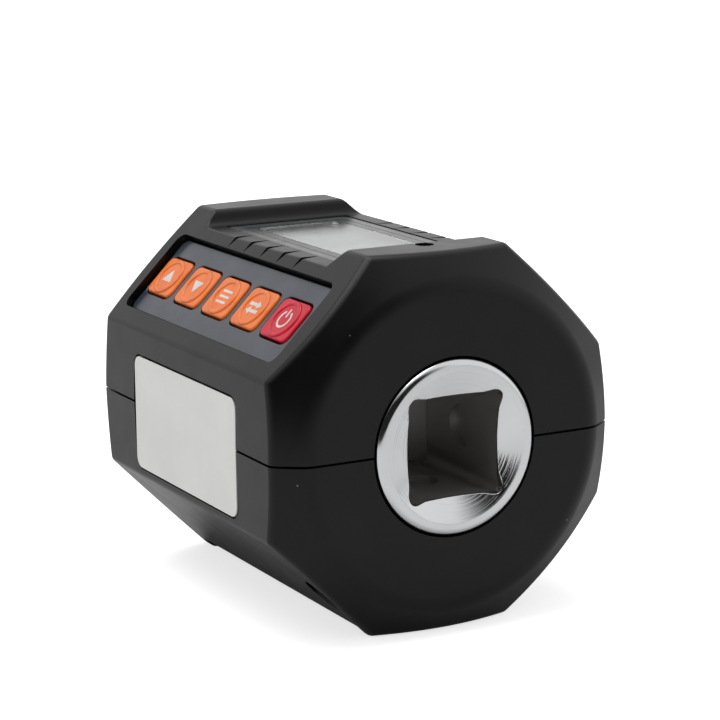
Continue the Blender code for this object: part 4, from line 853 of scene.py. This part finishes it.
def rear_tabs():
    """Tabs on the back wall of the upper half that reach down inside the lower one."""
    inside = CASE_LENGTH + BACK_FACE_OUT - WALL
    face = inside - GAP
    outline = [
        (face - TAB_THICKNESS, -TAB_DEPTH),
        (face, -TAB_DEPTH),
        (face, ROOTED),
        (inside + ROOTED, ROOTED),
        (inside + ROOTED, SADDLE_HEIGHT),
        (face - TAB_THICKNESS, SADDLE_HEIGHT),
    ]
    return pair_along_x(outline, TAB_X, TAB_WIDTH)


def lower_housing(case, shared, finish):
    half, hollow = case_half("case_lower", -1.0, [WALL] * 5 + [0.0], case, shared, finish)
    shaped(half, hollow, "DIFFERENCE")
    lip = parting_ring(case, WALL - LIP_THICKNESS, WALL - SKIM, -ROOTED, LIP_HEIGHT)
    shaped(half, lip, "UNION")
    joined(half, bay_ribs())
    joined(half, saddle_cheeks(-1.0))
    within = inset(half_octagon(-1.0, 0.0), [ROOTED] * 5 + [0.0])
    bosses = helper(at_screws((-HALF_HEIGHT, -SHY_OF_SEAM), (SCREW_BOSS_RADIUS,)), case)
    shaped(bosses, helper(along_y(within, 0.0, CASE_LENGTH), case), "INTERSECT")
    shaped(half, bosses, "UNION")
    shank = SCREW_SHANK_RADIUS + GAP
    cut(half, at_screws((-END_REACH, SCREW_HEAD_Z + GAP, WALL), (SCREW_POCKET_RADIUS, shank)))
    side = DOOR_WIDTH / 2 + DOOR_GAP
    ends = (DOOR_FRONT - DOOR_GAP, DOOR_BACK + DOOR_GAP)
    cut(half, block((-side, side), ends, (-END_REACH, BAY_RIB_TOP + ROOTED)))
    for tool in ("head", "tail", "label"):
        shaped(half, shared[tool], "DIFFERENCE")
    return finished(half)


def bay_ribs():
    """Walls at both sides of the cells."""
    inner = DOOR_WIDTH / 2
    z = (-(HALF_HEIGHT + HALF_TOP - inner) + WALL, BAY_RIB_TOP)
    return together(at_both_sides(inner, inner + DOOR_GAP + BAY_RIB, (LINK_Y, CASE_LENGTH - WALL), z))


def battery_door(case, finish):
    """A tray lid whose front edge turns under two tongues, with a nail slot at the back."""
    side = DOOR_WIDTH / 2
    flat = HALF_TOP - DOOR_SINK * math.tan(math.pi / 8)
    rise = side - flat
    outline = [
        (-side, -DOOR_INNER + DOOR_RIM),
        (-side, -DOOR_OUTER + rise),
        (-flat, -DOOR_OUTER),
        (flat, -DOOR_OUTER),
        (side, -DOOR_OUTER + rise),
        (side, -DOOR_INNER + DOOR_RIM),
        (flat, -DOOR_INNER + DOOR_RIM),
        (flat - DOOR_RIM, -DOOR_INNER),
        (-flat + DOOR_RIM, -DOOR_INNER),
        (-flat, -DOOR_INNER + DOOR_RIM),
    ]
    hinge = (0.0, DOOR_FRONT, -DOOR_OUTER)
    door = piece("bay_door", along_y(outline, DOOR_FRONT, DOOR_BACK), case, finish, hinge)
    eased(door, EDGE_ROUND, 3, lambda x, y, z: z < -DOOR_INNER / MM - EDGE_MARGIN)
    under = -HALF_HEIGHT + WALL + GAP
    neck = DOOR_FRONT + TONGUE_SETBACK
    tongue = [
        (neck, -DOOR_OUTER + ROOTED),
        (neck + ROOTED, -DOOR_OUTER + ROOTED),
        (neck + ROOTED, under + TONGUE_THICKNESS),
        (DOOR_FRONT - TONGUE_REACH, under + TONGUE_THICKNESS),
        (DOOR_FRONT - TONGUE_REACH, under),
        (neck, under),
    ]
    joined(door, pair_along_x(tongue, TONGUE_SPREAD / 2, TONGUE_WIDTH))
    slot = block(
        (-NAIL_SLOT_LENGTH / 2, NAIL_SLOT_LENGTH / 2),
        (DOOR_BACK - NAIL_SLOT_WIDTH, DOOR_BACK + ROOTED),
        (-END_REACH, -DOOR_OUTER + NAIL_SLOT_DEPTH),
    )
    cut(door, slot)
    return finished(door)


def torque_shaft(case, finish):
    """The plated shaft: socket head, waist, tail and male square."""
    profile = [(0.0, HEAD_FRONT), *edge_arc(FLANGE_RADIUS, HEAD_FRONT, HEAD_ROUND, 1)]
    profile += [(FLANGE_RADIUS, FLANGE_BACK), (HEAD_RADIUS, FLANGE_BACK + GAP)]
    for turn in QUARTER:
        across = WAIST_RADIUS + (HEAD_RADIUS - WAIST_RADIUS) * math.cos(turn) ** 2
        profile.append((across, HEAD_BACK + HEAD_SWEEP * math.sin(turn)))
    profile += [(WAIST_RADIUS, WAIST_BACK), (TAIL_RADIUS, TAIL_FRONT)]
    profile += [*edge_arc(TAIL_RADIUS, TAIL_END, HEAD_EDGE / 2, -1), (0.0, TAIL_END)]
    shaft = piece("plated_shaft", turned(profile, END_STEPS), case, finish)
    cut(shaft, lofted([socket_section(y) for y in (-END_REACH, SOCKET_FLOOR)]))
    slope = (SOCKET_LEAD_RADIUS - SOCKET_SQUARE / 2) / SOCKET_LEAD_DEPTH
    lead_end = HEAD_FRONT + SOCKET_LEAD_DEPTH + GAP
    lead = [
        (0.0, HEAD_FRONT - ROOTED),
        (SOCKET_LEAD_RADIUS + slope * ROOTED, HEAD_FRONT - ROOTED),
        (SOCKET_SQUARE / 2 - slope * GAP, lead_end),
        (0.0, lead_end),
    ]
    cut(shaft, turned(lead, END_STEPS))
    mouth, rim = lead_end / MM, SOCKET_LEAD_RADIUS / MM - EDGE_MARGIN
    eased(shaft, MOUTH_ROUND, 3, lambda x, y, z: y < mouth and math.hypot(x, z) < rim)
    eased(shaft, MOUTH_ROUND, 2, lambda x, y, z: y < HEAD_FRONT / MM + EDGE_MARGIN / 2, MOUTH_ANGLE)
    reach = SOCKET_SQUARE / 2 + SOCKET_DIMPLE_DEPTH
    for axis in ("X", "Z"):
        dimple = cylinder(SOCKET_DIMPLE_RADIUS, -reach, reach, SMALL_STEPS, axis, (0.0, SOCKET_DIMPLE_Y, 0.0))
        cut(shaft, dimple)
    sections = []
    for side, y in (
        (DRIVE_SQUARE, TAIL_END - ROOTED),
        (DRIVE_SQUARE, DRIVE_END - DRIVE_CHAMFER),
        (DRIVE_SQUARE - 2 * DRIVE_CHAMFER, DRIVE_END),
    ):
        square = rounded_rectangle((0.0, 0.0), (side, side), DRIVE_CORNER)
        sections.append([(x, y, z) for x, z in square])
    joined(shaft, lofted(sections))
    eased(shaft, EDGE_ROUND, 3, lambda x, y, z: y > (DRIVE_END - DRIVE_CHAMFER) / MM - EDGE_MARGIN)
    flat = DRIVE_SQUARE / 2
    hole = [
        (0.0, flat - BALL_HOLE_DEPTH),
        (BALL_HOLE_RADIUS, flat - BALL_HOLE_DEPTH),
        (BALL_HOLE_RADIUS, flat - BALL_MOUTH_DEPTH),
        (BALL_MOUTH_RADIUS, flat - BALL_MOUTH_DEPTH / 2),
        (BALL_MOUTH_RADIUS, DRIVE_SQUARE),
        (0.0, DRIVE_SQUARE),
    ]
    cut(shaft, turned(hole, SMALL_STEPS, "Z", (0.0, BALL_Y, 0.0)))
    gauged = (GAUGE_Y - GAUGE_LENGTH / 2 - ROOTED, GAUGE_Y + GAUGE_LENGTH / 2 + ROOTED)
    slotted = (KEY_SLOT_FRONT, KEY_SLOT_FRONT + KEY_SLOT_WIDTH)
    flats = []
    for side in SIDES:
        for inner, y in ((KEY_SLOT_FLAT, slotted), (WAIST_FLAT, gauged)):
            flats.append(block(sorted((side * inner, side * END_REACH)), y, (-END_REACH, END_REACH)))
    cut(shaft, together(flats))
    return finished(shaft)


def cell(name, x, start, way, case, jacket, steel):
    """One cell from y = start, with its nub at the front for way 1 and at the back for way -1."""
    profile = [(0.0, 0.0), (CELL_NUB_RADIUS - SHEET_ROUND, 0.0), (CELL_NUB_RADIUS, SHEET_ROUND)]
    profile += [(CELL_NUB_RADIUS, CELL_NUB), *edge_arc(CELL_RADIUS, CELL_NUB, CELL_EDGE, 1)]
    profile += [*edge_arc(CELL_RADIUS, CELL_LENGTH, CELL_EDGE, -1), (0.0, CELL_LENGTH)]
    placed = [(r, start + y if way > 0 else start + CELL_LENGTH - y) for r, y in profile]
    made = piece(name, turned(placed, ROUND_STEPS, "Y", (x, 0.0, CELL_Z)), case, jacket)
    made.data.materials.append(steel)
    for face in made.data.polygons:
        middle = face.center - Vector((x, 0.0, CELL_Z))
        if math.hypot(middle.x, middle.z) < CELL_RADIUS - CELL_EDGE * JACKET_LAP:
            face.material_index = 1
    return finished(made)


def eased(target, width, segments, where, sharper=SHARP_ANGLE):
    """Rounds the sharp edges whose middle, in the frame of the target's parent, the test picks."""
    shape = bmesh.new()
    shape.from_mesh(target.data)
    flat = math.radians(FLAT_ANGLE)
    bmesh.ops.dissolve_limit(shape, angle_limit=flat, verts=shape.verts, edges=shape.edges)
    chosen = []
    for edge in shape.edges:
        middle = (edge.verts[0].co + edge.verts[1].co) / 2 + target.location
        if edge.calc_face_angle(0.0) > math.radians(sharper) and where(*(middle / MM)):
            chosen.append(edge)
    bmesh.ops.bevel(
        shape,
        geom=chosen,
        offset=width,
        segments=segments,
        profile=0.5,
        affect="EDGES",
        clamp_overlap=False,
    )
    bmesh.ops.remove_doubles(shape, verts=shape.verts, dist=WELD)
    bmesh.ops.dissolve_degenerate(shape, dist=WELD, edges=shape.edges)
    bmesh.ops.recalc_face_normals(shape, faces=shape.faces)
    shape.to_mesh(target.data)
    shape.free()


def finished(target, angle=SMOOTH_ANGLE):
    """Smooth shading that keeps flat faces flat."""
    target.data.shade_smooth()
    target.data.set_sharp_from_angle(angle=math.radians(angle))
    weighted = target.modifiers.new("weighted", "WEIGHTED_NORMAL")
    weighted.keep_sharp = True
    weighted.weight = 100
    return target


def ball(case, finish):
    profile = []
    for i in range(SMALL_STEPS + 1):
        turn = math.pi * i / SMALL_STEPS
        across = 0.0 if i in (0, SMALL_STEPS) else BALL_RADIUS * math.sin(turn)
        profile.append((across, BALL_Z - BALL_RADIUS * math.cos(turn)))
    made = piece("locking_ball", turned(profile, ROUND_STEPS, "Z", (0.0, BALL_Y, 0.0)), case, finish)
    return finished(made)


def ball_spring(case, finish):
    """The coiled spring under the ball."""
    low = DRIVE_SQUARE / 2 - BALL_HOLE_DEPTH + GAP
    high = BALL_Z - BALL_RADIUS - GAP
    rise = high - low - 2 * SPRING_WIRE
    count = SPRING_TURNS * SMALL_STEPS
    sections = []
    for i in range(count + 1):
        turn = 2.0 * math.pi * i / SMALL_STEPS
        section = []
        for j in range(WIRE_SIDES):
            round_wire = 2.0 * math.pi * j / WIRE_SIDES
            out = SPRING_RADIUS + SPRING_WIRE * math.cos(round_wire)
            up = low + SPRING_WIRE + rise * i / count + SPRING_WIRE * math.sin(round_wire)
            section.append((out * math.cos(turn), BALL_Y + out * math.sin(turn), up))
        sections.append(section)
    made = piece("ball_spring", lofted(sections), case, finish)
    made.data.shade_smooth()
    dressed(made, "case", "steel", "detent_spring")
    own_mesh(made)


def overlay(pad, finish):
    """The glossy sheet round the keys."""
    sheet = piece("pad_sheet", along_z(pad_outline(GAP), -OVERLAY_BOTTOM, -SHEET_SINK), pad, finish)
    holes = [along_z(key_outline(i, GAP), -OVERLAY_BOTTOM - GAP, 0.0) for i in range(KEY_COUNT)]
    cut(sheet, together(holes))
    eased(sheet, SHEET_ROUND, 3, lambda x, y, z: z > -SHEET_SINK / MM - TOP_EDGES)
    return finished(sheet)


def key(name, index, pad, finish):
    """A cap with a rounded rim and a raised ring round a shallow dish, and wings behind the floor."""
    y = key_y(index)
    sections = []
    rim = edge_arc(0.0, -KEY_TOP, KEY_ROUND, -1)
    for margin, height in [(0.0, -(WING_TOP + KEY_WING_THICKNESS / 2)), *rim]:
        sections.append([(x, v, height) for x, v in key_outline(index, margin)])
    cap = piece(name, lofted(sections), pad, finish)
    wing = KEY_HEIGHT / 2 + KEY_GAP + KEY_WING
    wings = block(
        (-PAD_MIDDLE - wing, -PAD_MIDDLE + wing),
        (y - KEY_LENGTH / 2 + KEY_ROUND, y + KEY_LENGTH / 2 - KEY_ROUND),
        (-WING_BOTTOM, -WING_TOP),
    )
    joined(cap, wings)
    ring = [(0.0, -KEY_TOP - KEY_ROUND), (RING_RADIUS, -KEY_TOP - KEY_ROUND)]
    for i in range(ARC_STEPS + 1):
        turn = math.pi * i / ARC_STEPS
        across = RING_RADIUS - RING_WIDTH / 2 * (1 - math.cos(turn))
        foot = 0.0 if i < ARC_STEPS / 2 else DISH
        ring.append((across, -KEY_TOP + foot + (RING_HEIGHT - foot) * math.sin(turn)))
    ring.append((0.0, -KEY_TOP + DISH))
    joined(cap, turned(ring, ROUND_STEPS, "Z", (-PAD_MIDDLE, y, 0.0)))
    return finished(cap, KEY_SMOOTH_ANGLE)


def legend(name, index, outlines, pad, finish):
    """A printed symbol: outlines to the right and up as one reads the keys, in millimetres."""
    low = -KEY_TOP + DISH - PRINT_SINK
    shapes = []
    for outline in outlines:
        flat = [(-PAD_MIDDLE + up * MM, key_y(index) - right * MM) for right, up in outline]
        shapes.append(along_z(flat, low, low + PRINT_SINK + PRINT_RISE))
    return piece(name, together(shapes), pad, finish)


def bar(right, up, width, height):
    return rounded_rectangle((right, up), (width, height), min(width, height) / BAR_ROUND, 4)


def ring_part(radius, width, gap):
    """A ring that is open at its top by gap degrees each way."""
    start, end = math.radians(90.0 + gap), math.radians(450.0 - gap)
    turns = [start + (end - start) * i / ROUND_STEPS for i in range(ROUND_STEPS + 1)]
    rims = (radius + width / 2, radius - width / 2)
    outer, inner = ([(rim * math.cos(turn), rim * math.sin(turn)) for turn in turns] for rim in rims)
    return outer + inner[::-1]


def symbols():
    """A generic symbol for each key: power, swap, menu, down and up."""
    arrow = [(-1.5, 0.25), (0.5, 0.25), (0.5, -0.15), (1.5, 0.5), (0.5, 1.15), (0.5, 0.75), (-1.5, 0.75)]
    back = [(-right, -up) for right, up in arrow]
    return (
        [ring_part(1.2, 0.32, 32.0), bar(0.0, 0.9, 0.32, 1.3)],
        [arrow, back],
        [bar(0.0, up, 2.6, 0.36) for up in (-0.85, 0.0, 0.85)],
        [rounded([(-1.3, 0.8), (0.0, -1.1), (1.3, 0.8)], 0.12, 4)],
        [rounded([(-1.3, -0.8), (1.3, -0.8), (0.0, 1.1)], 0.12, 4)],
    )


def window_outline(margin):
    size = (WINDOW_WIDTH - 2 * margin, WINDOW_LENGTH - 2 * margin)
    return rounded_rectangle((0.0, WINDOW_MIDDLE), size, WINDOW_CORNER)


def glazing(name, margins, case, finish):
    """A piece of the window, level with its top: a frame between two margins, or the pane inside one."""
    outlines = [window_outline(margin) for margin in margins]
    made = piece(name, along_z(outlines[0], WINDOW_TOP - WINDOW_THICKNESS, WINDOW_TOP), case, finish)
    for hole in outlines[1:]:
        cut(made, along_z(hole, WINDOW_FLOOR, HALF_HEIGHT))
    eased(made, PRINT_SINK, 2, lambda x, y, z: z > WINDOW_TOP / MM - TOP_EDGES)
    return finished(made)


def label(case, finish):
    low = -HALF_WIDTH + LABEL_SINK
    plate = piece("side_plate", along_x(label_outline(0.0), low, low + LABEL_THICKNESS), case, finish)
    eased(plate, PRINT_RISE, 2, lambda x, y, z: x < low / MM + TOP_EDGES)
    return finished(plate)


def fed(tree, target, **inputs):
    """Sets a node's inputs, or links them where a value is another node's output."""
    for name, value in inputs.items():
        socket = target.inputs[name.replace("_", " ")]
        if isinstance(value, bpy.types.NodeSocket):
            tree.links.new(value, socket)
        else:
            socket.default_value = value
    return target.outputs


def node(tree, kind, settings=(), **inputs):
    """The outputs of a new node."""
    made = tree.nodes.new("ShaderNode" + kind)
    for name, value in settings:
        setattr(made, name, value)
    return fed(tree, made, **inputs)


def shader_of(name, roughness, metallic=0.0, **inputs):
    """A new material, its node tree and its shader."""
    made = bpy.data.materials.new(name)
    made.use_nodes = True
    shader = made.node_tree.nodes["Principled BSDF"]
    fed(made.node_tree, shader, Roughness=roughness, Metallic=metallic, **inputs)
    return made, made.node_tree, shader


def noise(tree, scale, detail=3.0):
    """A noise texture in object space, whose scale counts per metre."""
    place = node(tree, "TexCoord")["Object"]
    return node(tree, "TexNoise", Vector=place, Scale=scale, Detail=detail)["Fac"]


def ramp(tree, value, low, high, start=0.35, end=0.65):
    """A colour between two, by a value between start and end."""
    made = tree.nodes.new("ShaderNodeValToRGB")
    for element, place, colour in zip(made.color_ramp.elements, (start, end), (low, high)):
        element.position = place
        element.color = (*colour, 1.0)
    return fed(tree, made, Fac=value)["Color"]


def spread(tree, value, low, high, start=0.3, end=0.7):
    """Maps a value between start and end to the range low to high."""
    limits = {"From_Min": start, "From_Max": end, "To_Min": low, "To_Max": high}
    return node(tree, "MapRange", Value=value, **limits)["Result"]


def mixed(tree, kind, factor, first, second):
    """A blend of two colours, of kind RGBA, or of two numbers, of kind FLOAT."""
    return node(tree, "Mix", [("data_type", kind)], Factor=factor, A=first, B=second)["Result"]


def maths(tree, operation, first, second=None):
    """One step of arithmetic on sockets or numbers."""
    made = tree.nodes.new("ShaderNodeMath")
    made.operation = operation
    for socket, value in zip(made.inputs, (first, second)):
        if isinstance(value, (int, float)):
            socket.default_value = value
        elif value is not None:
            tree.links.new(value, socket)
    return made.outputs["Value"]


def product(tree, *values):
    """The product of several sockets or numbers."""
    whole = values[0]
    for value in values[1:]:
        whole = maths(tree, "MULTIPLY", whole, value)
    return whole


def bumped(tree, shader, height, strength, distance):
    normal = node(tree, "Bump", Height=height, Strength=strength, Distance=distance)["Normal"]
    fed(tree, shader, Normal=normal)


def moulded():
    """Black plastic with a fine spark texture, uneven gloss and a few specks of dust."""
    made, tree, shader = shader_of("moulded_black", 0.33, Specular_IOR_Level=0.24)
    body = ramp(tree, noise(tree, 140.0), (0.0026, 0.0026, 0.0029), (0.004, 0.004, 0.0044))
    cells = node(tree, "TexVoronoi", Vector=node(tree, "TexCoord")["Object"], Scale=DUST_SCALE)
    chance = node(tree, "SeparateColor", Color=cells["Color"])["Red"]
    near = maths(tree, "LESS_THAN", cells["Distance"], DUST_SIZE)
    speck = product(tree, near, maths(tree, "GREATER_THAN", chance, DUST_FREE))
    colour = mixed(tree, "RGBA", speck, body, (0.16, 0.16, 0.16, 1.0))
    fed(tree, shader, Base_Color=colour, Roughness=spread(tree, noise(tree, 260.0), 0.3, 0.36))
    bumped(tree, shader, noise(tree, SPARK_SCALE, 2.0), 0.3, SPARK_DEPTH)
    return made


def plated():
    """Chromium plate with turning lines round the socket's mouth, rougher inside the square, where its colour
    is darkened as painted shade.
    """
    made, tree, shader = shader_of("chromium_plate", 0.1, 1.0)
    apart = node(tree, "SeparateXYZ", Vector=node(tree, "TexCoord")["Object"])
    x, y, z = (apart[axis] for axis in "XYZ")
    radius = maths(tree, "SQRT", maths(tree, "ADD", product(tree, x, x), product(tree, z, z)))
    widest = maths(tree, "MAXIMUM", maths(tree, "ABSOLUTE", x), maths(tree, "ABSOLUTE", z))
    inside = maths(tree, "LESS_THAN", widest, SOCKET_SQUARE / 2 + SOCKET_DIMPLE_DEPTH + SKIM)
    lead_end = HEAD_FRONT + SOCKET_LEAD_DEPTH
    deep = spread(tree, y, 0.0, 1.0, lead_end, lead_end + GAP)
    # Mask of the square's inside past the lead, where the plate's colour is darkened as painted shade and its
    # roughness raised
    painted_shade_inside = product(tree, inside, maths(tree, "LESS_THAN", y, SOCKET_FLOOR + GAP), deep)
    plate = ramp(tree, noise(tree, 90.0), (0.63, 0.64, 0.65), (0.71, 0.715, 0.72), 0.3, 0.7)
    smear = spread(tree, noise(tree, 420.0, 4.0), 0.07, 0.16)
    gloss = maths(tree, "ADD", smear, product(tree, painted_shade_inside, SOCKET_MATT))
    # Inside the square the plate's colour goes to a dull grey: painted shade of the recess
    fed(tree, shader, Base_Color=mixed(tree, "RGBA", painted_shade_inside, plate, (0.46, 0.45, 0.44, 1.0)), Roughness=gloss)
    front = maths(tree, "LESS_THAN", y, lead_end + GAP)
    front = product(tree, front, maths(tree, "LESS_THAN", radius, SOCKET_LEAD_RADIUS))
    across = maths(tree, "ADD", radius, product(tree, noise(tree, 250.0), TURNING_WOBBLE))
    one_way = [("noise_dimensions", "1D")]
    rings = node(tree, "TexNoise", one_way, W=across, Scale=1.0 / TURNING_PITCH, Detail=3.0)["Fac"]
    bumped(tree, shader, product(tree, rings, front), 1.0, TURNING_DEPTH)
    return made


def simple(name, low, high, roughness, scale=400.0, metallic=0.0, bump=0.0, **inputs):
    """A finish whose colour and gloss vary a little over the surface."""
    made, tree, shader = shader_of(name, roughness, metallic, **inputs)
    gloss = spread(tree, noise(tree, 1.7 * scale), roughness * 0.85, roughness * 1.15)
    fed(tree, shader, Base_Color=ramp(tree, noise(tree, scale), low, high), Roughness=gloss)
    if bump:
        bumped(tree, shader, noise(tree, 6.0 * scale), bump, SPARK_DEPTH)
    return made


def clear():
    """Clear acrylic with faint smears."""
    made, tree, shader = shader_of("clear_acrylic", 0.03, Transmission_Weight=1.0, IOR=1.49)
    smear = spread(tree, noise(tree, 150.0, 5.0), 0.12, 0.18)
    fed(tree, shader, Base_Color=(0.93, 0.95, 0.96, 1.0), Roughness=smear)
    return made


def backdrop():
    """A white world for what looks at it, and a soft grey one for what it lights."""
    world = bpy.data.worlds.new("studio")
    bpy.context.scene.world = world
    world.use_nodes = True
    tree = world.node_tree
    tree.nodes.clear()
    rays = node(tree, "LightPath")
    seen = maths(tree, "MAXIMUM", rays["Is Camera Ray"], rays["Is Transmission Ray"])
    place = node(tree, "TexCoord")["Generated"]
    mirrored = WORLD_MIRRORED
    for way, angles in DARK_PARTS:
        towards = tree.nodes.new("ShaderNodeVectorMath")
        towards.operation = "DOT_PRODUCT"
        towards.inputs[1].default_value = Vector(way).normalized()
        tree.links.new(place, towards.inputs[0])
        start, end = (math.cos(math.radians(angle)) for angle in angles)
        part = spread(tree, towards.outputs["Value"], WORLD_MIRRORED, DARK_MIRRORED, end, start)
        mirrored = maths(tree, "MINIMUM", part, mirrored)
    strength = mixed(tree, "FLOAT", rays["Is Glossy Ray"], WORLD_LIGHT, mirrored)
    shown = mixed(tree, "FLOAT", seen, strength, 1.0)
    light = node(tree, "Background", Color=WHITE, Strength=shown)["Background"]
    node(tree, "OutputWorld", Surface=light)


def floor():
    """A pale floor that shows white to what looks at it, and keeps a soft shadow."""
    shape = bmesh.new()
    bmesh.ops.create_grid(shape, x_segments=1, y_segments=1, size=FLOOR_SIZE)
    mesh = bpy.data.meshes.new("floor")
    shape.to_mesh(mesh)
    shape.free()
    made = linked("floor", mesh)
    made.location = (0.0, 0.0, FLOOR_DROP)
    grey = (0.8, 0.8, 0.8, 1.0)
    paint, tree, shader = shader_of("floor_paint", 0.8, Base_Color=grey, Specular_IOR_Level=0.0)
    lift = product(tree, node(tree, "LightPath")["Is Camera Ray"], FLOOR_LIFT)
    fed(tree, shader, Emission_Color=WHITE, Emission_Strength=lift)
    mesh.materials.append(paint)


def lamp():
    """A soft square lamp over the object."""
    light = bpy.data.lights.new("top_lamp", "AREA")
    light.shape = "SQUARE"
    light.size = LAMP_SIZE
    light.energy = LAMP_POWER
    made = linked("top_lamp", light)
    made.location = LAMP_PLACE
    way = Vector(LAMP_TARGET) - Vector(LAMP_PLACE)
    made.rotation_euler = way.to_track_quat("-Z", "Y").to_euler()


def camera():
    """The photograph's viewpoint, fitted to the corners of the case."""
    azimuth, height, roll = (math.radians(angle) for angle in CAMERA_ANGLES)
    level = math.cos(height)
    back = Vector((math.sin(azimuth) * level, -math.cos(azimuth) * level, math.sin(height)))
    right = Vector((0.0, 0.0, 1.0)).cross(back).normalized()
    up = back.cross(right)
    across = math.cos(roll) * right + math.sin(roll) * up
    over = -math.sin(roll) * right + math.cos(roll) * up
    lens = bpy.data.cameras.new("camera")
    lens.lens = CAMERA_LENS
    lens.sensor_width = CAMERA_SENSOR
    lens.clip_start = CAMERA_CLIP
    made = linked("camera", lens)
    turn = Matrix((across, over, back)).transposed().to_4x4()
    made.matrix_world = Matrix.Translation(CAMERA_PLACE) @ turn
    bpy.context.scene.camera = made


def dressed(made, body, slot, *nodes):
    """Lets a piece ride on a body in the place of CAD nodes."""
    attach(made, body)
    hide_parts(*nodes)


def main():
    for old in list(bpy.data.objects):
        if old.name in ("Cube", "Light", "Camera"):
            bpy.data.objects.remove(old, do_unlink=True)
    case = empty("case_frame", None, (0.0, FRONT_CORNERS_Y, HALF_HEIGHT))
    pad = empty("keypad_frame", case, (-HALF_TOP, 0.0, HALF_HEIGHT), -BEVEL_TILT)
    plastic = moulded()
    plate = plated()
    steel = simple("nickelled_steel", (0.5, 0.48, 0.44), (0.62, 0.6, 0.56), 0.28, 600.0, 1.0)
    sheet = simple("overlay_sheet", (0.03, 0.036, 0.05), (0.045, 0.052, 0.068), 0.24, 180.0)
    red = simple("red_cap", (0.5, 0.008, 0.026), (0.6, 0.014, 0.036), 0.2, 500.0, Specular_IOR_Level=0.25)
    low, high = (0.74, 0.15, 0.02), (0.82, 0.19, 0.032)
    orange = simple("orange_cap", low, high, 0.2, 500.0, Specular_IOR_Level=0.35)
    ink = simple("white_print", (0.62, 0.55, 0.52), (0.72, 0.66, 0.63), 0.35, 500.0)
    film = simple("pale_film", (0.69, 0.7, 0.67), (0.73, 0.74, 0.71), 0.42, 120.0)
    grey = simple("grey_border", (0.05, 0.053, 0.056), (0.065, 0.068, 0.072), 0.26, 300.0)
    black = simple("black_border", (0.02, 0.021, 0.023), (0.03, 0.031, 0.033), 0.26, 300.0)
    jacket = simple("cell_wrap", (0.03, 0.06, 0.11), (0.04, 0.08, 0.14), 0.25, 200.0)
    glass = simple("display_glass", (0.45, 0.46, 0.43), (0.48, 0.49, 0.46), 0.12, 150.0)
    rubber = simple("conductive_rubber", (0.02, 0.02, 0.022), (0.035, 0.035, 0.037), 0.7, 500.0, bump=0.2)
    board = simple("solder_mask", (0.008, 0.06, 0.025), (0.012, 0.085, 0.035), 0.35, 300.0, bump=0.1)
    chip = simple("moulded_chip", (0.012, 0.012, 0.012), (0.02, 0.02, 0.02), 0.55, 600.0, bump=0.2)
    foil = simple("gauge_film", (0.5, 0.26, 0.06), (0.6, 0.34, 0.1), 0.3, 500.0)
    shared = shared_helpers(case, pad)
    dressed(upper_housing(case, pad, shared, plastic), "case", "case", "upper_housing")
    dressed(lower_housing(case, shared, plastic), "case", "case", "lower_housing")
    dressed(battery_door(case, plastic), "battery_door", "case", "battery_door")
    dressed(torque_shaft(case, plate), "case", "chrome", "torque_shaft")
    dressed(ball(case, steel), "detent_ball", "steel", "detent_ball")
    ball_spring(case, steel)
    dressed(overlay(pad, sheet), "case", "overlay", "keypad_overlay")
    for index, outlines in enumerate(symbols()):
        body = "power_key" if index == 0 else f"key_{index + 1}"
        slot = "red_key" if index == 0 else "orange_key"
        cap = key(f"cap_{index + 1}", index, pad, red if index == 0 else orange)
        dressed(cap, body, slot, body)
        mark = legend(f"symbol_{index + 1}", index, outlines, pad, ink)
        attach(mark, body)
    dressed(glazing("window_pane", PANE_MARGINS, case, clear()), "case", "window", "display_window")
    for name, margins, finish in (("window_frame", FRAME_MARGINS, grey), ("view_frame", VIEW_MARGINS, black)):
        border = glazing(name, margins, case, finish)
        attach(border, "case")
    dressed(label(case, film), "case", "label", "side_label")
    for side, way, start in (("left", 1.0, CELL_FRONT), ("right", -1.0, CELL_FRONT + CELL_SPRING_ROOM)):
        made = cell(f"wrapped_cell_{side}", -way * CELL_SPREAD / 2, start, way, case, jacket, steel)
        dressed(made, "case", "cell_jacket", f"cell_{side}")
    metal = ["cell_spring_front", "cell_spring_rear", "cell_link", "contact_left", "contact_right"]
    metal += ["case_screw_left", "case_screw_right", *[f"key_dome_{i + 1}" for i in range(KEY_COUNT)]]
    for finish, names in (
        (glass, ["lcd_panel"]),
        (rubber, ["lcd_strip_left", "lcd_strip_right"]),
        (board, ["main_board", "keypad_board"]),
        (chip, ["controller_chip", "amplifier_chip", "buzzer"]),
        (foil, ["strain_gauge_left", "strain_gauge_right"]),
        (steel, metal),
    ):
        for name in names:
            for slot in frame["nodes"][name].material_slots:
                slot.material = finish
    for old in HELPERS:
        bpy.data.objects.remove(old, do_unlink=True)
    backdrop()
    floor()
    lamp()
    camera()
    bpy.context.scene.view_settings.view_transform = "Standard"


main()
